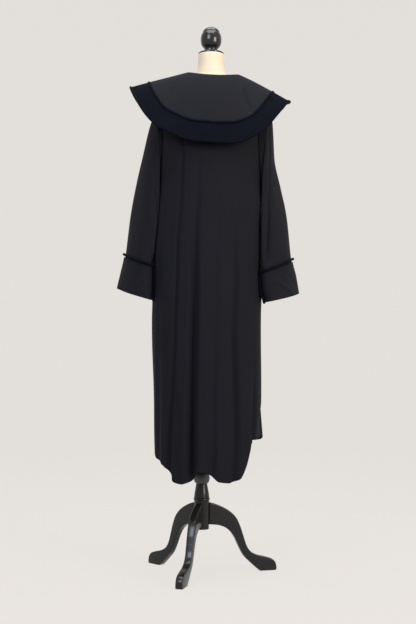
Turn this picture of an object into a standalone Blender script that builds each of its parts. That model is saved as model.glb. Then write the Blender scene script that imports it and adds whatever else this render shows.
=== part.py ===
"""A judge's robe on a turned dress-form stand, built from the pieces it is cut and sewn from.

Metres, +Z up. The wearer's front faces +Y and the wearer's right is +X. Angles go round the
body in degrees from the middle of the back: 0 is the back, +90 the wearer's right side, -90 the
left side and 180 the front. Every cloth piece is a thin wall on a surface that a short table
describes; neighbours stop just short of each other at their seams.
"""

from collections import namedtuple

import bpy
import numpy as np

# ---------------------------------------------------------------- driving dimensions
ROBE_MIDDLE = (0.0000, 0.0275)  # the robe's middle from the middle of the whole footprint
FORM_X = 0.0097                 # the dress form's axis, to the wearer's right of the robe's middle
COLUMN_X = -0.0197              # the stand's column; the pole leans from it to the form
CLOTH = 0.0020                  # wall of the wool cloth, with its seam allowances
VELVET = 0.0024                 # wall of the velvet on its canvas
SEAM = 0.0008                   # space left between two pieces at a seam
LAP = 0.0015                    # space between two layers that lie on each other

# The yoke, from the neckline (share 0) down to the underarm (share 1).
Yoke = namedtuple("Yoke", "share half_width middle_x side_z back_depth back_z front_depth front_z")
YOKE = (
    Yoke(0.00, 0.0790, 0.0165, 1.557, 0.062, 1.538, 0.070, 1.500),
    Yoke(0.14, 0.1120, 0.0130, 1.530, 0.088, 1.4955, 0.100, 1.458),
    Yoke(0.26, 0.1520, 0.0100, 1.502, 0.107, 1.449, 0.122, 1.415),
    Yoke(0.44, 0.1600, 0.0075, 1.415, 0.127, 1.385, 0.138, 1.350),
    Yoke(0.68, 0.1640, 0.0070, 1.300, 0.140, 1.285, 0.148, 1.275),
    Yoke(1.00, 0.1660, 0.0070, 1.150, 0.146, 1.150, 0.147, 1.150),
)

NECK_HALF_WIDTH = YOKE[0].half_width
SHOULDER_TILT = 0.0035          # the neckline hangs this much lower at the right, higher at the left

# The body from the chest down, by height.
Section = namedtuple("Section", "height half_width middle_x back_depth front_depth")
BODY = (
    Section(0.300, 0.1645, -0.0010, 0.166, 0.160),
    Section(0.540, 0.1675, -0.0015, 0.160, 0.156),
    Section(0.800, 0.1705, -0.0045, 0.154, 0.151),
    Section(0.860, 0.1702, -0.0035, 0.153, 0.150),
    Section(0.930, 0.1690, -0.0035, 0.151, 0.149),
    Section(1.020, 0.1680, -0.0020, 0.149, 0.148),
    Section(1.085, 0.1665, 0.0015, 0.1475, 0.1475),
    Section(1.150, 0.1660, 0.0060, 0.146, 0.147),
    Section(1.300, 0.1640, 0.0070, 0.139, 0.148),
)

# The hem's height round the body: a rounded shirt tail, with an open vent on the right side.
Hem = namedtuple("Hem", "angle height")
HEM = (
    Hem(-190, 0.312), Hem(-150, 0.320), Hem(-115, 0.348), Hem(-90, 0.374), Hem(-70, 0.362),
    Hem(-50, 0.337), Hem(-43, 0.307), Hem(-37, 0.297), Hem(-29, 0.294), Hem(-21, 0.302),
    Hem(-15, 0.321), Hem(-7, 0.331), Hem(3, 0.322), Hem(12, 0.302), Hem(26, 0.298),
    Hem(36, 0.307), Hem(45, 0.343), Hem(54, 0.410), Hem(72, 0.502), Hem(90, 0.537),
    Hem(96, 0.438), Hem(104, 0.414), Hem(116, 0.408), Hem(132, 0.363), Hem(152, 0.322),
    Hem(190, 0.312),
)

# The right front's own hem: its side edge laps under the back below the vent.
FRONT_HEM = (
    Hem(40, 0.420), Hem(62, 0.421), Hem(78, 0.423), Hem(90, 0.427), Hem(97, 0.424),
    Hem(104, 0.416), Hem(116, 0.408), Hem(132, 0.363), Hem(152, 0.322), Hem(190, 0.312),
)
VENT_UNDERLAP = 34.0            # how far the right front's edge goes under the back, in degrees
VENT_LEVEL = 1.837              # the level at which it starts to
VENT_ROOM = 0.0075              # and how far inside the back it lies
VENT_TUCK = 0.035               # the edge turns in over this much level before it slides under

# Soft troughs that run down the panels, deepening towards the hem.
Fold = namedtuple("Fold", "top_angle hem_angle half_width top_depth hem_depth")
FOLDS = (
    Fold(-29.0, -42.0, 11.0, 0.0040, 0.0110),
    Fold(-13.0, -18.5, 11.0, 0.0030, 0.0280),
    Fold(10.0, 4.0, 10.0, 0.0015, 0.0090),
    Fold(32.5, 30.0, 9.5, 0.0020, 0.0120),
    Fold(57.0, 58.5, 12.0, 0.0020, 0.0060),
    Fold(118.0, 112.0, 12.0, 0.0030, 0.0120),
    Fold(143.0, 141.0, 12.0, 0.0040, 0.0180),
    Fold(-120.0, -116.0, 12.0, 0.0030, 0.0130),
    Fold(-146.0, -142.0, 13.0, 0.0040, 0.0180),
)
CHEST = 0.62                    # level from which the yoke's sections pass into the body's
FOLD_TOP = 1.40                 # height at which the troughs begin
VENT_FLARE = 0.010              # the right front's corner swings out below the vent
BACK_FULLNESS = 0.008           # the back's corners are this much fuller than an oval's
SIDE_FULLNESS = 0.0011          # and its sides this much, beside the sleeves

# Armhole: an oval cut out of the sides between the shoulder tip and the underarm.
ARMHOLE_TOP = 0.26              # share of the yoke at the shoulder tip
ARMHOLE_CUT = 24.0              # half the oval's width, in degrees round the body
ARMHOLE_STEPS = 9               # steps down each side of the oval
FRONT_LAP = 6.0                 # how far each front passes the middle, in degrees

# Sleeves: rings fanned from the armhole to the mouth. Reach is measured from the robe's middle
# to the ring's outermost and innermost points; lean draws the ring's back towards the body and
# its front away from it; drop lowers the back and raises the front.
Ring = namedtuple("Ring", "out_reach out_z in_reach in_z half_depth lean drop hook")
SLEEVES = {
    "left": (
        Ring(0.1723, 1.474, 0.1600, 1.120, 0.058, 0.0060, 0.000, 0.0125),
        Ring(0.1905, 1.420, 0.1584, 1.086, 0.067, 0.0156, 0.000, 0.0120),
        Ring(0.2110, 1.320, 0.1626, 1.048, 0.075, 0.0213, 0.002, 0.0140),
        Ring(0.2298, 1.220, 0.1658, 1.013, 0.079, 0.0250, 0.004, 0.0120),
        Ring(0.2460, 1.121, 0.1672, 0.983, 0.079, 0.0277, 0.006, 0.0104),
        Ring(0.2625, 0.987, 0.1700, 0.958, 0.077, 0.0289, 0.008, 0.0014),
        Ring(0.2735, 0.938, 0.1706, 0.907, 0.076, 0.0318, 0.008, 0.0002),
        Ring(0.2848, 0.888, 0.1724, 0.856, 0.075, 0.0326, 0.008, 0.0020),
    ),
    "right": (
        Ring(0.1925, 1.471, 0.1726, 1.115, 0.058, 0.0042, 0.000, 0.0060),
        Ring(0.2058, 1.418, 0.1682, 1.081, 0.067, 0.0143, 0.000, 0.0060),
        Ring(0.2117, 1.318, 0.1654, 1.042, 0.075, 0.0191, 0.002, 0.0055),
        Ring(0.2301, 1.219, 0.1636, 1.007, 0.079, 0.0248, 0.004, 0.0055),
        Ring(0.2495, 1.119, 0.1624, 0.977, 0.079, 0.0296, 0.006, 0.0072),
        Ring(0.2650, 0.972, 0.1628, 0.936, 0.077, 0.0326, 0.008, 0.0030),
        Ring(0.2760, 0.925, 0.1648, 0.892, 0.076, 0.0326, 0.008, 0.0016),
        Ring(0.2832, 0.872, 0.1712, 0.848, 0.075, 0.0226, 0.008, 0.0024),
    ),
}
HOOK_POWER = 7                  # how close to the sleeve's back edge it bends in round the body
CUFF_TOP_RING = 6               # the ring, counted from the armhole, at the cuff's top edge
RING_POINTS = 2 * ARMHOLE_STEPS

# A long crease down the back of each sleeve: where on the ring (degrees from the outer edge,
# the back at 90), how wide, how deep, and between which rings.
Crease = namedtuple("Crease", "angle half_width depth first last")
CREASES = {
    "left": (Crease(124.0, 34.0, 0.0040, 1.0, 5.7), Crease(66.0, 40.0, 0.0025, 1.0, 4.5)),
    "right": (Crease(58.0, 30.0, 0.0090, 2.2, 5.6), Crease(132.0, 30.0, 0.0035, 1.0, 5.5)),
}

# Cuffs: degrees round the ring at which the rear free edge stands, how far beyond it the roll
# stands, and the end that is out of sight on the body side.
Cuff = namedtuple("Cuff", "free_edge roll_turn hidden_end")
CUFFS = {"left": Cuff(120.0, 7.5, 200.0), "right": Cuff(120.0, 7.5, 200.0)}
ROLL = 0.0040                   # radius of the padded velvet piping
ROLL_STAND = 0.0060             # height of a cuff roll's middle above the sleeve

# The cape collar: its outer edge round the body (one row per direction), symmetric in plan.
Edge = namedtuple("Edge", "angle reach height_left height_right")
COLLAR = (
    Edge(0, 0.166, 1.312, 1.312),
    Edge(24, 0.175, 1.324, 1.314),
    Edge(40, 0.190, 1.349, 1.333),
    Edge(52, 0.205, 1.373, 1.361),
    Edge(62, 0.219, 1.409, 1.400),
    Edge(72, 0.234, 1.457, 1.439),
    Edge(82, 0.244, 1.497, 1.467),
    Edge(90, 0.2485, 1.518, 1.473),
    Edge(104, 0.236, 1.500, 1.478),
    Edge(118, 0.222, 1.466, 1.453),
    Edge(135, 0.198, 1.424, 1.410),
    Edge(155, 0.177, 1.374, 1.366),
    Edge(180, 0.168, 1.345, 1.345),
)
COLLAR_END = 172.0              # the collar stops this far round, leaving the front open
COLLAR_MIDDLE_X = 0.0070
COLLAR_RISE = 0.0035            # the collar's neckline stands this far above the robe's
CROWN_SIDE = 0.001              # how far the collar bows up over the shoulders
CROWN_BACK = 0.018              # and over the shoulder blades
COLLAR_COLUMNS = 35
COLLAR_SOFTEN = 11.0            # the collar's outline is averaged over this many degrees to either side
Band = namedtuple("Band", "angle start")  # share of the collar's width where the velvet begins
BAND = (
    Band(0, 0.765), Band(30, 0.757), Band(52, 0.735), Band(70, 0.700), Band(85, 0.680),
    Band(110, 0.700), Band(180, 0.720),
)

# Dress form: oval sections by height.
Torso = namedtuple("Torso", "height half_width back_depth front_depth")
TORSO = (
    Torso(0.850, 0.138, 0.098, 0.094),
    Torso(0.920, 0.142, 0.102, 0.098),
    Torso(1.020, 0.130, 0.092, 0.090),
    Torso(1.110, 0.112, 0.080, 0.084),
    Torso(1.200, 0.124, 0.088, 0.104),
    Torso(1.290, 0.136, 0.094, 0.120),
    Torso(1.380, 0.140, 0.090, 0.104),
    Torso(1.450, 0.141, 0.078, 0.078),
    Torso(1.490, 0.132, 0.066, 0.062),
    Torso(1.510, 0.110, 0.060, 0.055),
    Torso(1.524, 0.084, 0.054, 0.050),
    Torso(1.540, 0.061, 0.048, 0.046),
    Torso(1.560, 0.0455, 0.0430, 0.0430),
    Torso(1.585, 0.0410, 0.0410, 0.0410),
    Torso(1.6185, 0.0405, 0.0405, 0.0405),
)
TORSO_POINTS = 28

# Turned pieces: radius and height down each outline, from the top.
Turn = namedtuple("Turn", "radius height")
FINIAL = (
    Turn(0.0060, 1.7045), Turn(0.0135, 1.7028), Turn(0.0205, 1.6985), Turn(0.0252, 1.6930),
    Turn(0.0262, 1.6905), Turn(0.0252, 1.6895), Turn(0.0266, 1.6880), Turn(0.0298, 1.6820),
    Turn(0.0319, 1.6740), Turn(0.0325, 1.6650), Turn(0.0314, 1.6550), Turn(0.0280, 1.6465),
    Turn(0.0225, 1.6400), Turn(0.0200, 1.6350), Turn(0.0205, 1.6280),
)
NECK_DISC = (Turn(0.0215, 1.6275), Turn(0.0375, 1.6250), Turn(0.0402, 1.6225), Turn(0.0402, 1.6190))
POLE_RADIUS = 0.0125
POLE_TOP = 0.8495
POLE_FOOT = 0.3155
COLUMN_BALL = (
    Turn(0.0150, 0.3150), Turn(0.0222, 0.3085), Turn(0.0250, 0.2975), Turn(0.0228, 0.2865),
    Turn(0.0170, 0.2800),
)
COLUMN_CONE = (Turn(0.0175, 0.2795), Turn(0.0190, 0.2700), Turn(0.0225, 0.2500), Turn(0.0242, 0.2365))
HUB = (
    Turn(0.0245, 0.2360), Turn(0.0258, 0.2325), Turn(0.0245, 0.2290), Turn(0.0236, 0.2250),
    Turn(0.0236, 0.1530), Turn(0.0229, 0.1518), Turn(0.0229, 0.1385),
)
TURNED_POINTS = 24

# Legs: a board cut to a cabriole outline, distance from the axis and height.
LEG_TOP = (
    (0.0243, 0.2215), (0.0450, 0.2150), (0.0680, 0.2050), (0.0930, 0.1890), (0.1110, 0.1690),
    (0.1230, 0.1440), (0.1340, 0.1110), (0.1450, 0.0800), (0.1580, 0.0620), (0.1800, 0.0500),
    (0.2100, 0.0420), (0.2290, 0.0350), (0.2400, 0.0220), (0.2430, 0.0050), (0.2400, 0.0),
)
LEG_UNDER = (
    (0.1880, 0.0), (0.1780, 0.0080), (0.1560, 0.0280), (0.1360, 0.0480), (0.1200, 0.0760),
    (0.1060, 0.1060), (0.0900, 0.1290), (0.0700, 0.1430), (0.0480, 0.1500), (0.0243, 0.1525),
)
LEG_BOARD = 0.022               # thickness of the board
LEG_EASE = 0.0030               # rounding of its edges
LEG_TURNS = {"leg_front": -105.7, "leg_right": 14.3, "leg_left": 134.3}  # degrees from +X


# ---------------------------------------------------------------- curves through tables
def through(keys, values):
    """A smooth curve through a table's rows; it never swings past a row."""
    keys = np.asarray(keys, float)
    values = np.asarray(values, float)
    steps = np.diff(keys)
    slopes = np.diff(values) / steps
    product = slopes[:-1] * slopes[1:]
    total = np.where(product > 0, slopes[:-1] + slopes[1:], 1.0)
    middle = np.where(product > 0, 2 * product / total, 0.0)
    tangents = np.concatenate(([slopes[0]], middle, [slopes[-1]]))

    def curve(at):
        at = np.clip(at, keys[0], keys[-1])
        row = np.clip(np.searchsorted(keys, at, side="right") - 1, 0, len(steps) - 1)
        step = steps[row]
        t = (at - keys[row]) / step
        return (
            (1 + 2 * t) * (1 - t) ** 2 * values[row]
            + t * (1 - t) ** 2 * step * tangents[row]
            + t * t * (3 - 2 * t) * values[row + 1]
            + t * t * (t - 1) * step * tangents[row + 1]
        )

    return curve


def columns(table):
    """One smooth curve for each column of a table, read along its first column."""
    keys = [row[0] for row in table]
    return {name: through(keys, [getattr(row, name) for row in table]) for name in table[0]._fields[1:]}


def ease(share):
    """A soft step from 0 to 1."""
    share = np.clip(share, 0, 1)
    return share * share * (3 - 2 * share)


def between(start, end, share):
    """A value that share of the way from start to end."""
    return start + (end - start) * share


def step_for(surface, first, second, distance):
    """How far the second parameter moves for a distance along the surface, looking backwards."""
    small = 1e-3
    ahead = surface(first, second) - surface(first, second - small)
    return distance * small / np.linalg.norm(ahead, axis=-1)


def trough(offset, half_width):
    """The soft section of a trough: 1 in its middle, 0 from its half width outwards."""
    return np.cos(np.pi / 2 * np.clip(offset / half_width, -1, 1)) ** 2


YOKE_AT = columns(YOKE)
BODY_AT = columns(BODY)
HEM_AT = columns(HEM)["height"]
FRONT_HEM_AT = columns(FRONT_HEM)["height"]
COLLAR_AT = columns(COLLAR)
BAND_AT = columns(BAND)["start"]
TORSO_AT = columns(TORSO)


# ---------------------------------------------------------------- surfaces of the robe
def fold_depth(angle, z):
    """How far the body's troughs press in at an angle and a height."""
    down = np.clip((FOLD_TOP - z) / (FOLD_TOP - 0.30), 0, 1)
    begin = np.clip((FOLD_TOP - z) / 0.12, 0, 1)
    depth = 0.0
    for fold in FOLDS:
        centre = fold.top_angle + (fold.hem_angle - fold.top_angle) * down
        size = begin * (fold.top_depth + (fold.hem_depth - fold.top_depth) * down)
        depth = depth + size * trough(angle - centre, fold.half_width)
    return depth


def robe_surface(angle, level, own_hem=False):
    """The body: level 0 is the neckline, 1 the underarm and 2 the hem."""
    angle, level = np.broadcast_arrays(np.asarray(angle, float), np.asarray(level, float))
    turn = np.radians(angle)
    sin, cos = np.sin(turn), np.cos(turn)
    share = np.clip(level, 0, 1)
    behind = cos > 0
    far_z = np.where(behind, YOKE_AT["back_z"](share), YOKE_AT["front_z"](share))
    far_depth = np.where(behind, YOKE_AT["back_depth"](share), YOKE_AT["front_depth"](share))
    yoke_z = between(YOKE_AT["side_z"](share), far_z, np.abs(cos) ** 1.4)
    yoke_z = yoke_z - SHOULDER_TILT * sin * (1 - share) ** 3
    underarm = YOKE[-1].side_z
    hem = FRONT_HEM_AT(angle) if own_hem else HEM_AT(angle)
    body_z = underarm + (hem - underarm) * np.clip(level - 1, 0, None)
    in_body = level > 1
    z = np.where(in_body, body_z, yoke_z)
    body_depth = np.where(behind, BODY_AT["back_depth"](z), BODY_AT["front_depth"](z))
    body = ease((level - CHEST) / (1 - CHEST))
    half_width = between(YOKE_AT["half_width"](share), BODY_AT["half_width"](z), body)
    depth = between(far_depth, body_depth, body)
    middle = between(YOKE_AT["middle_x"](share), BODY_AT["middle_x"](z), body)
    flare = VENT_FLARE * trough(angle - 97, 22) * np.clip((0.54 - z) / 0.12, 0, 1) * ((angle > 90) | own_hem)
    full = BACK_FULLNESS * trough(np.abs(angle) - 62, 23) * ease((1.22 - z) / 0.1)
    full = full * between(1.0, 0.3, ease((1.00 - z) / 0.08))
    side = SIDE_FULLNESS * trough(np.abs(angle) - 93, 15) * ease((1.13 - z) / 0.06) * ease((z - 0.82) / 0.06)
    full = full + side
    out = np.stack([sin / half_width, -cos / depth])
    out = out / np.hypot(*out)
    press = flare + full - fold_depth(angle, z)
    return np.stack([middle + half_width * sin + out[0] * press, -depth * cos + out[1] * press, z], axis=-1)


def armhole_cut(level):
    """Half the armhole's width at a level, in degrees round the body."""
    centre = (ARMHOLE_TOP + 1) / 2
    reach = (1 - ARMHOLE_TOP) / 2
    return ARMHOLE_CUT * np.sqrt(np.clip(1 - ((level - centre) / reach) ** 2, 0, 1))


def armhole_level(turn):
    """The level of the armhole's edge, going round it from the shoulder tip."""
    return (ARMHOLE_TOP + 1) / 2 - (1 - ARMHOLE_TOP) / 2 * np.cos(np.radians(turn))


def sleeve_surface(side):
    """A sleeve as a surface of turn round the ring and ring number (0 is the armhole)."""
    sign = -1.0 if side == "left" else 1.0
    rings = SLEEVES[side]
    numbers = np.arange(1, len(rings) + 1)
    at = {name: through(numbers, [getattr(ring, name) for ring in rings]) for name in Ring._fields}

    def surface(turn, number):
        turn, number = np.broadcast_arrays(np.asarray(turn, float), np.asarray(number, float))
        cos, sin = np.cos(np.radians(turn)), np.sin(np.radians(turn))
        row = np.clip(number, 1, None)
        press = 0.0
        for crease in CREASES[side]:
            along = np.clip((number - crease.first) / (crease.last - crease.first), 0, 1)
            fade = np.sin(np.pi * along) ** 0.7
            press = press + crease.depth * fade * trough(turn - crease.angle, crease.half_width)
        half_reach = (at["out_reach"](row) - at["in_reach"](row)) / 2
        half_width = np.sqrt(half_reach**2 - at["lean"](row) ** 2)
        reach = at["in_reach"](row) + half_reach + half_width * cos
        hook = at["hook"](row) * np.clip(sin, 0, 1) ** HOOK_POWER
        level_with = np.clip((row - 1) / (CUFF_TOP_RING - 1), 0, 1)
        across = between(cos, (half_width * cos - at["lean"](row) * sin) / half_reach, level_with)
        out = np.stack([cos / half_width, sin / at["half_depth"](row)])
        out = out / np.hypot(*out)
        ring = np.stack(
            [
                sign * (reach - at["lean"](row) * sin - hook - out[0] * press),
                -at["half_depth"](row) * sin + out[1] * press,
                between(at["in_z"](row), at["out_z"](row), (1 + across) / 2) - at["drop"](row) * sin,
            ],
            axis=-1,
        )
        level = armhole_level(turn)
        edge_angle = sign * (90 - (armhole_cut(level) - 0.6) * np.sign(sin))
        edge = robe_surface(edge_angle, level) + np.array([sign * (CLOTH / 2 + LAP), 0, 0])
        mix = np.clip(number, 0, 1)[..., None]
        return edge * (1 - mix) + ring * mix

    return surface


def softened(curve, angle):
    """The curve averaged over a short stretch to either side, but for the collar's two points."""
    reach = COLLAR_SOFTEN * np.abs(np.cos(np.radians(angle)))
    weights = np.array([1, 2, 3, 4, 3, 2, 1]) / 16
    return sum(w * curve(np.abs(angle + reach * o)) for w, o in zip(weights, np.linspace(-1, 1, 7)))


def right_front(angle, level):
    """The body with the right front's own hem."""
    return robe_surface(angle, level, own_hem=True)


def collar_surface(angle, width):
    """The cape collar: width 0 is its neckline and 1 its outer edge."""
    angle, width = np.broadcast_arrays(np.asarray(angle, float), np.asarray(width, float))
    turn = np.radians(angle)
    sin, cos = np.sin(turn), np.cos(turn)
    away = np.abs(angle)
    left, right = softened(COLLAR_AT["height_left"], away), softened(COLLAR_AT["height_right"], away)
    height = np.where(angle < 0, left, right)
    reach = softened(COLLAR_AT["reach"], away)
    outer = np.stack([COLLAR_MIDDLE_X + reach * sin, -reach * cos, height], axis=-1)
    rise = COLLAR_RISE + (CLOTH + LAP) * np.clip(-2 * cos, 0, 1)
    neck = robe_surface(angle, 0.0)
    neck[..., 2] += rise
    crown = between(CROWN_SIDE, CROWN_BACK, np.abs(cos)) * np.sin(np.pi * np.clip(width, 0, 1) ** 0.75)
    lift = np.stack([0.35 * sin, -0.6 * cos, np.ones_like(sin)], axis=-1)
    lift = lift / np.linalg.norm(lift, axis=-1, keepdims=True)
    w = width[..., None]
    return neck + (outer - neck) * w + lift * crown[..., None]


def moved_out(surface, first, second, distance):
    """Points of a surface moved along its outward normal, found from small steps on it."""
    small = 1e-3
    along_first = surface(first + small, second) - surface(first - small, second)
    along_second = surface(first, second + small) - surface(first, second - small)
    normal = np.cross(along_second, along_first)
    normal = normal / np.linalg.norm(normal, axis=-1, keepdims=True)
    return surface(first, second) + normal * np.asarray(distance)[..., None]


# ---------------------------------------------------------------- meshes
def material(name, color, roughness, metallic=0.0):
    """A plain finish: colour, roughness and metallic value."""
    made = bpy.data.materials.new(name)
    made.use_nodes = True
    shader = made.node_tree.nodes["Principled BSDF"]
    shader.inputs["Base Color"].default_value = (*color, 1)
    shader.inputs["Roughness"].default_value = roughness
    shader.inputs["Metallic"].default_value = metallic
    return made


def add_object(name, points, faces, finish, parent, smooth_angle=40):
    """A named object from points and faces, placed from the robe's middle."""
    mesh = bpy.data.meshes.new(name)
    mesh.from_pydata([tuple(point) for point in points], [], faces)
    mesh.materials.append(finish)
    mesh.shade_smooth()
    mesh.set_sharp_from_angle(angle=np.radians(smooth_angle))
    made = bpy.data.objects.new(name, mesh)
    made.parent = parent
    bpy.context.scene.collection.objects.link(made)
    return made


def wall_faces(rows, cols, closed):
    """Faces of a closed wall: an outer grid, an inner grid and the rims between them."""
    inner = rows * cols
    spans = cols if closed else cols - 1
    faces = []
    for i in range(rows - 1):
        for j in range(spans):
            k = (j + 1) % cols
            a, b, c, d = i * cols + j, i * cols + k, (i + 1) * cols + k, (i + 1) * cols + j
            faces.append((a, d, c, b))
            faces.append((inner + a, inner + b, inner + c, inner + d))
    for j in range(spans):
        k = (j + 1) % cols
        last = (rows - 1) * cols
        faces.append((j, k, inner + k, inner + j))
        faces.append((last + k, last + j, inner + last + j, inner + last + k))
    if not closed:
        for i in range(rows - 1):
            a, b = i * cols, (i + 1) * cols
            faces.append((b, a, inner + a, inner + b))
            faces.append((a + cols - 1, b + cols - 1, inner + b + cols - 1, inner + a + cols - 1))
    return faces


def wall(name, surface, first, second, thickness, finish, parent, lift=0.0, closed=False):
    """A cloth wall between a surface, raised by lift, and the same surface one thickness in."""
    lift = np.broadcast_to(lift, first.shape)
    outer = moved_out(surface, first, second, lift)
    inner = moved_out(surface, first, second, lift - thickness)
    points = np.concatenate([outer.reshape(-1, 3), inner.reshape(-1, 3)])
    faces = wall_faces(*first.shape, closed)
    return add_object(name, points, faces, finish, parent)


def stacked_rings(name, rings, finish, parent, smooth_angle=40):
    """A closed solid through rings of points, from the top ring to the bottom one."""
    rings = np.asarray(rings)
    count, around = rings.shape[:2]
    faces = [tuple(range(around))]
    for i in range(count - 1):
        for j in range(around):
            k = (j + 1) % around
            faces.append((i * around + k, i * around + j, (i + 1) * around + j, (i + 1) * around + k))
    faces.append(tuple(count * around - 1 - j for j in range(around)))
    return add_object(name, rings.reshape(-1, 3), faces, finish, parent, smooth_angle)


def rolled_cord(name, path, finish, parent):
    """A padded velvet roll: a round cord along a path, closed at both ends."""
    curve = bpy.data.curves.new(name, "CURVE")
    curve.dimensions = "3D"
    curve.bevel_depth = ROLL
    curve.bevel_resolution = 1
    curve.use_fill_caps = True
    curve.materials.append(finish)
    spline = curve.splines.new("POLY")
    spline.points.add(len(path) - 1)
    for point, place in zip(spline.points, path):
        point.co = (*place, 1)
    made = bpy.data.objects.new(name, curve)
    made.parent = parent
    bpy.context.scene.collection.objects.link(made)
    return made


# ---------------------------------------------------------------- the robe's pieces
def panel_levels():
    """Levels of a panel's rows: neckline, armhole edge, then down to the hem."""
    neck = np.array([0.0, 0.09, 0.18])
    armhole = armhole_level(np.linspace(0, 180, ARMHOLE_STEPS + 1))
    skirt = 1 + np.array([0.08, 0.18, 0.29, 0.40, 0.52, 0.64, 0.72, 0.80, 0.837, 0.875, 0.915, 1.0])
    return np.concatenate([neck, armhole, skirt])


def panel_grid(start, end, steps):
    """Angles and levels of a panel whose side edges follow the armhole where they meet a side."""
    share = np.linspace(0, 1, steps + 1)[None, :]
    level = panel_levels()[:, None]
    cut = armhole_cut(level)
    angle = start + (end - start) * share
    for edge, near in ((start, 1 - 2 * share), (end, 2 * share - 1)):
        at_side = np.isclose(abs(edge), 90, atol=2)
        inward = np.sign((start + end) / 2 - edge)
        angle = angle + at_side * inward * cut * np.clip(near, 0, 1) ** 2.5
    return angle, np.broadcast_to(level, angle.shape)


def add_body(cloth, parent):
    """The back panel and the two fronts, the right one lapped over the left."""
    side = 90 - np.degrees(SEAM / 2 / NECK_HALF_WIDTH)
    angle, level = panel_grid(-side, side, 28)
    wall("robe_back", robe_surface, angle, level, CLOTH, cloth, parent)
    angle, level = panel_grid(-(180 + FRONT_LAP), -(180 - side), 12)
    wall("robe_front_left", robe_surface, angle, level, CLOTH, cloth, parent)
    angle, level = panel_grid(180 - side, 180 + FRONT_LAP, 12)
    under = VENT_UNDERLAP * ease((level - VENT_LEVEL) / 0.07)
    angle = angle - under * np.clip((120 - angle) / 30, 0, 1)
    tuck = VENT_ROOM * ease((level - VENT_LEVEL + VENT_TUCK) / VENT_TUCK) * ease((99 - angle) / 9)
    lift = (CLOTH + LAP) * np.clip((angle - 148) / 20, 0, 1) - tuck
    wall("robe_front_right", right_front, angle, level, CLOTH, cloth, parent, lift=lift)


def add_sleeve(side, cloth, parent):
    """A set-in sleeve from its armhole to its mouth."""
    turn = np.arange(RING_POINTS) * 360 / RING_POINTS
    number = np.concatenate([[0, 0.5], np.arange(1, len(SLEEVES[side]) + 1)])
    turn, number = np.meshgrid(turn, number)
    surface = sleeve_surface(side)
    wall("sleeve_" + side, facing(surface, side), turn, number, CLOTH, cloth, parent, closed=True)


def facing(surface, side):
    """The surface with its turn running so that its normal points outwards."""
    if side == "left":
        return surface
    return lambda turn, number: surface(-turn, number)


def add_cuff(side, cloth, velvet, parent):
    """A turned-back cuff with its roll along the top edge and down the free rear edge."""
    cuff = CUFFS[side]
    surface = facing(sleeve_surface(side), side)
    sign = 1 if side == "left" else -1
    own = np.arange(cuff.hidden_end - 360, cuff.free_edge + 1, 360 / RING_POINTS)
    rows = np.arange(CUFF_TOP_RING, len(SLEEVES[side]) + 1, dtype=float)
    turn, number = np.meshgrid(np.sort(sign * own), rows)
    wall("cuff_" + side, surface, turn, number, VELVET, cloth, parent, lift=VELVET + LAP)
    top = np.full(len(own), rows[0])
    room = step_for(surface, sign * own, top, ROLL + 2 * SEAM)
    beyond = np.concatenate([[0.7, 1.0], np.ones(len(rows) - 1)])
    path_turn = np.concatenate([own, cuff.free_edge + cuff.roll_turn * beyond])
    path_row = np.concatenate([top - room, rows[0] + room[-1] * np.array([-0.8, 0.5]), rows[1:]])
    path = moved_out(surface, sign * path_turn, path_row, ROLL_STAND)
    rolled_cord("cuff_roll_" + side, path, velvet, parent)


def add_collar(cloth, velvet, parent):
    """The cape collar: cloth, velvet band and the rolls on the band's two edges."""
    angle = np.linspace(-COLLAR_END, COLLAR_END, COLLAR_COLUMNS)
    start = BAND_AT(np.abs(angle))
    room = step_for(collar_surface, angle, start, ROLL + 2 * SEAM)
    outer_room = step_for(collar_surface, angle, np.full_like(angle, 1.0), ROLL + 2 * SEAM)
    cloth_width = np.linspace(0 * room, start - room, 6)
    band_width = np.linspace(start + room, 1 - outer_room, 4)
    for name, width, thickness, finish in (
        ("collar_cloth", cloth_width, CLOTH, cloth),
        ("collar_velvet_band", band_width, VELVET, velvet),
    ):
        grid = np.broadcast_arrays(angle, width)
        wall(name, collar_surface, *grid, thickness, finish, parent)
    for name, width in (("collar_inner_roll", start), ("collar_outer_roll", np.ones_like(angle))):
        path = moved_out(collar_surface, angle, width, -CLOTH / 2)
        rolled_cord(name, path, velvet, parent)


# ---------------------------------------------------------------- the form and its stand
def add_form(cream, parent):
    """The limbless torso with its neck, as ovals whose front and back differ in depth."""
    turn = np.arange(TORSO_POINTS) * 2 * np.pi / TORSO_POINTS
    rings = []
    for row in reversed(TORSO):
        depth = np.where(np.cos(turn) > 0, row.back_depth, row.front_depth)
        x = FORM_X + row.half_width * np.sin(turn)
        rings.append(np.stack([x, -depth * np.cos(turn), np.full_like(turn, row.height)], axis=-1))
    stacked_rings("form_torso", rings, cream, parent)


def turned_ring(radius, x, height):
    """One level circle of points."""
    turn = np.arange(TURNED_POINTS) * 2 * np.pi / TURNED_POINTS
    return np.stack([x + radius * np.sin(turn), -radius * np.cos(turn), np.full_like(turn, height)], axis=-1)


def add_turned(name, outline, x, finish, parent):
    """A turned piece from its outline, top to bottom, on an upright axis."""
    stacked_rings(name, [turned_ring(row.radius, x, row.height) for row in outline], finish, parent)


def add_pole(finish, parent):
    """The pole, leaning from the column up to the form's underside."""
    rings = [turned_ring(POLE_RADIUS, FORM_X, POLE_TOP), turned_ring(POLE_RADIUS, COLUMN_X, POLE_FOOT)]
    stacked_rings("pole", rings, finish, parent)


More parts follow.
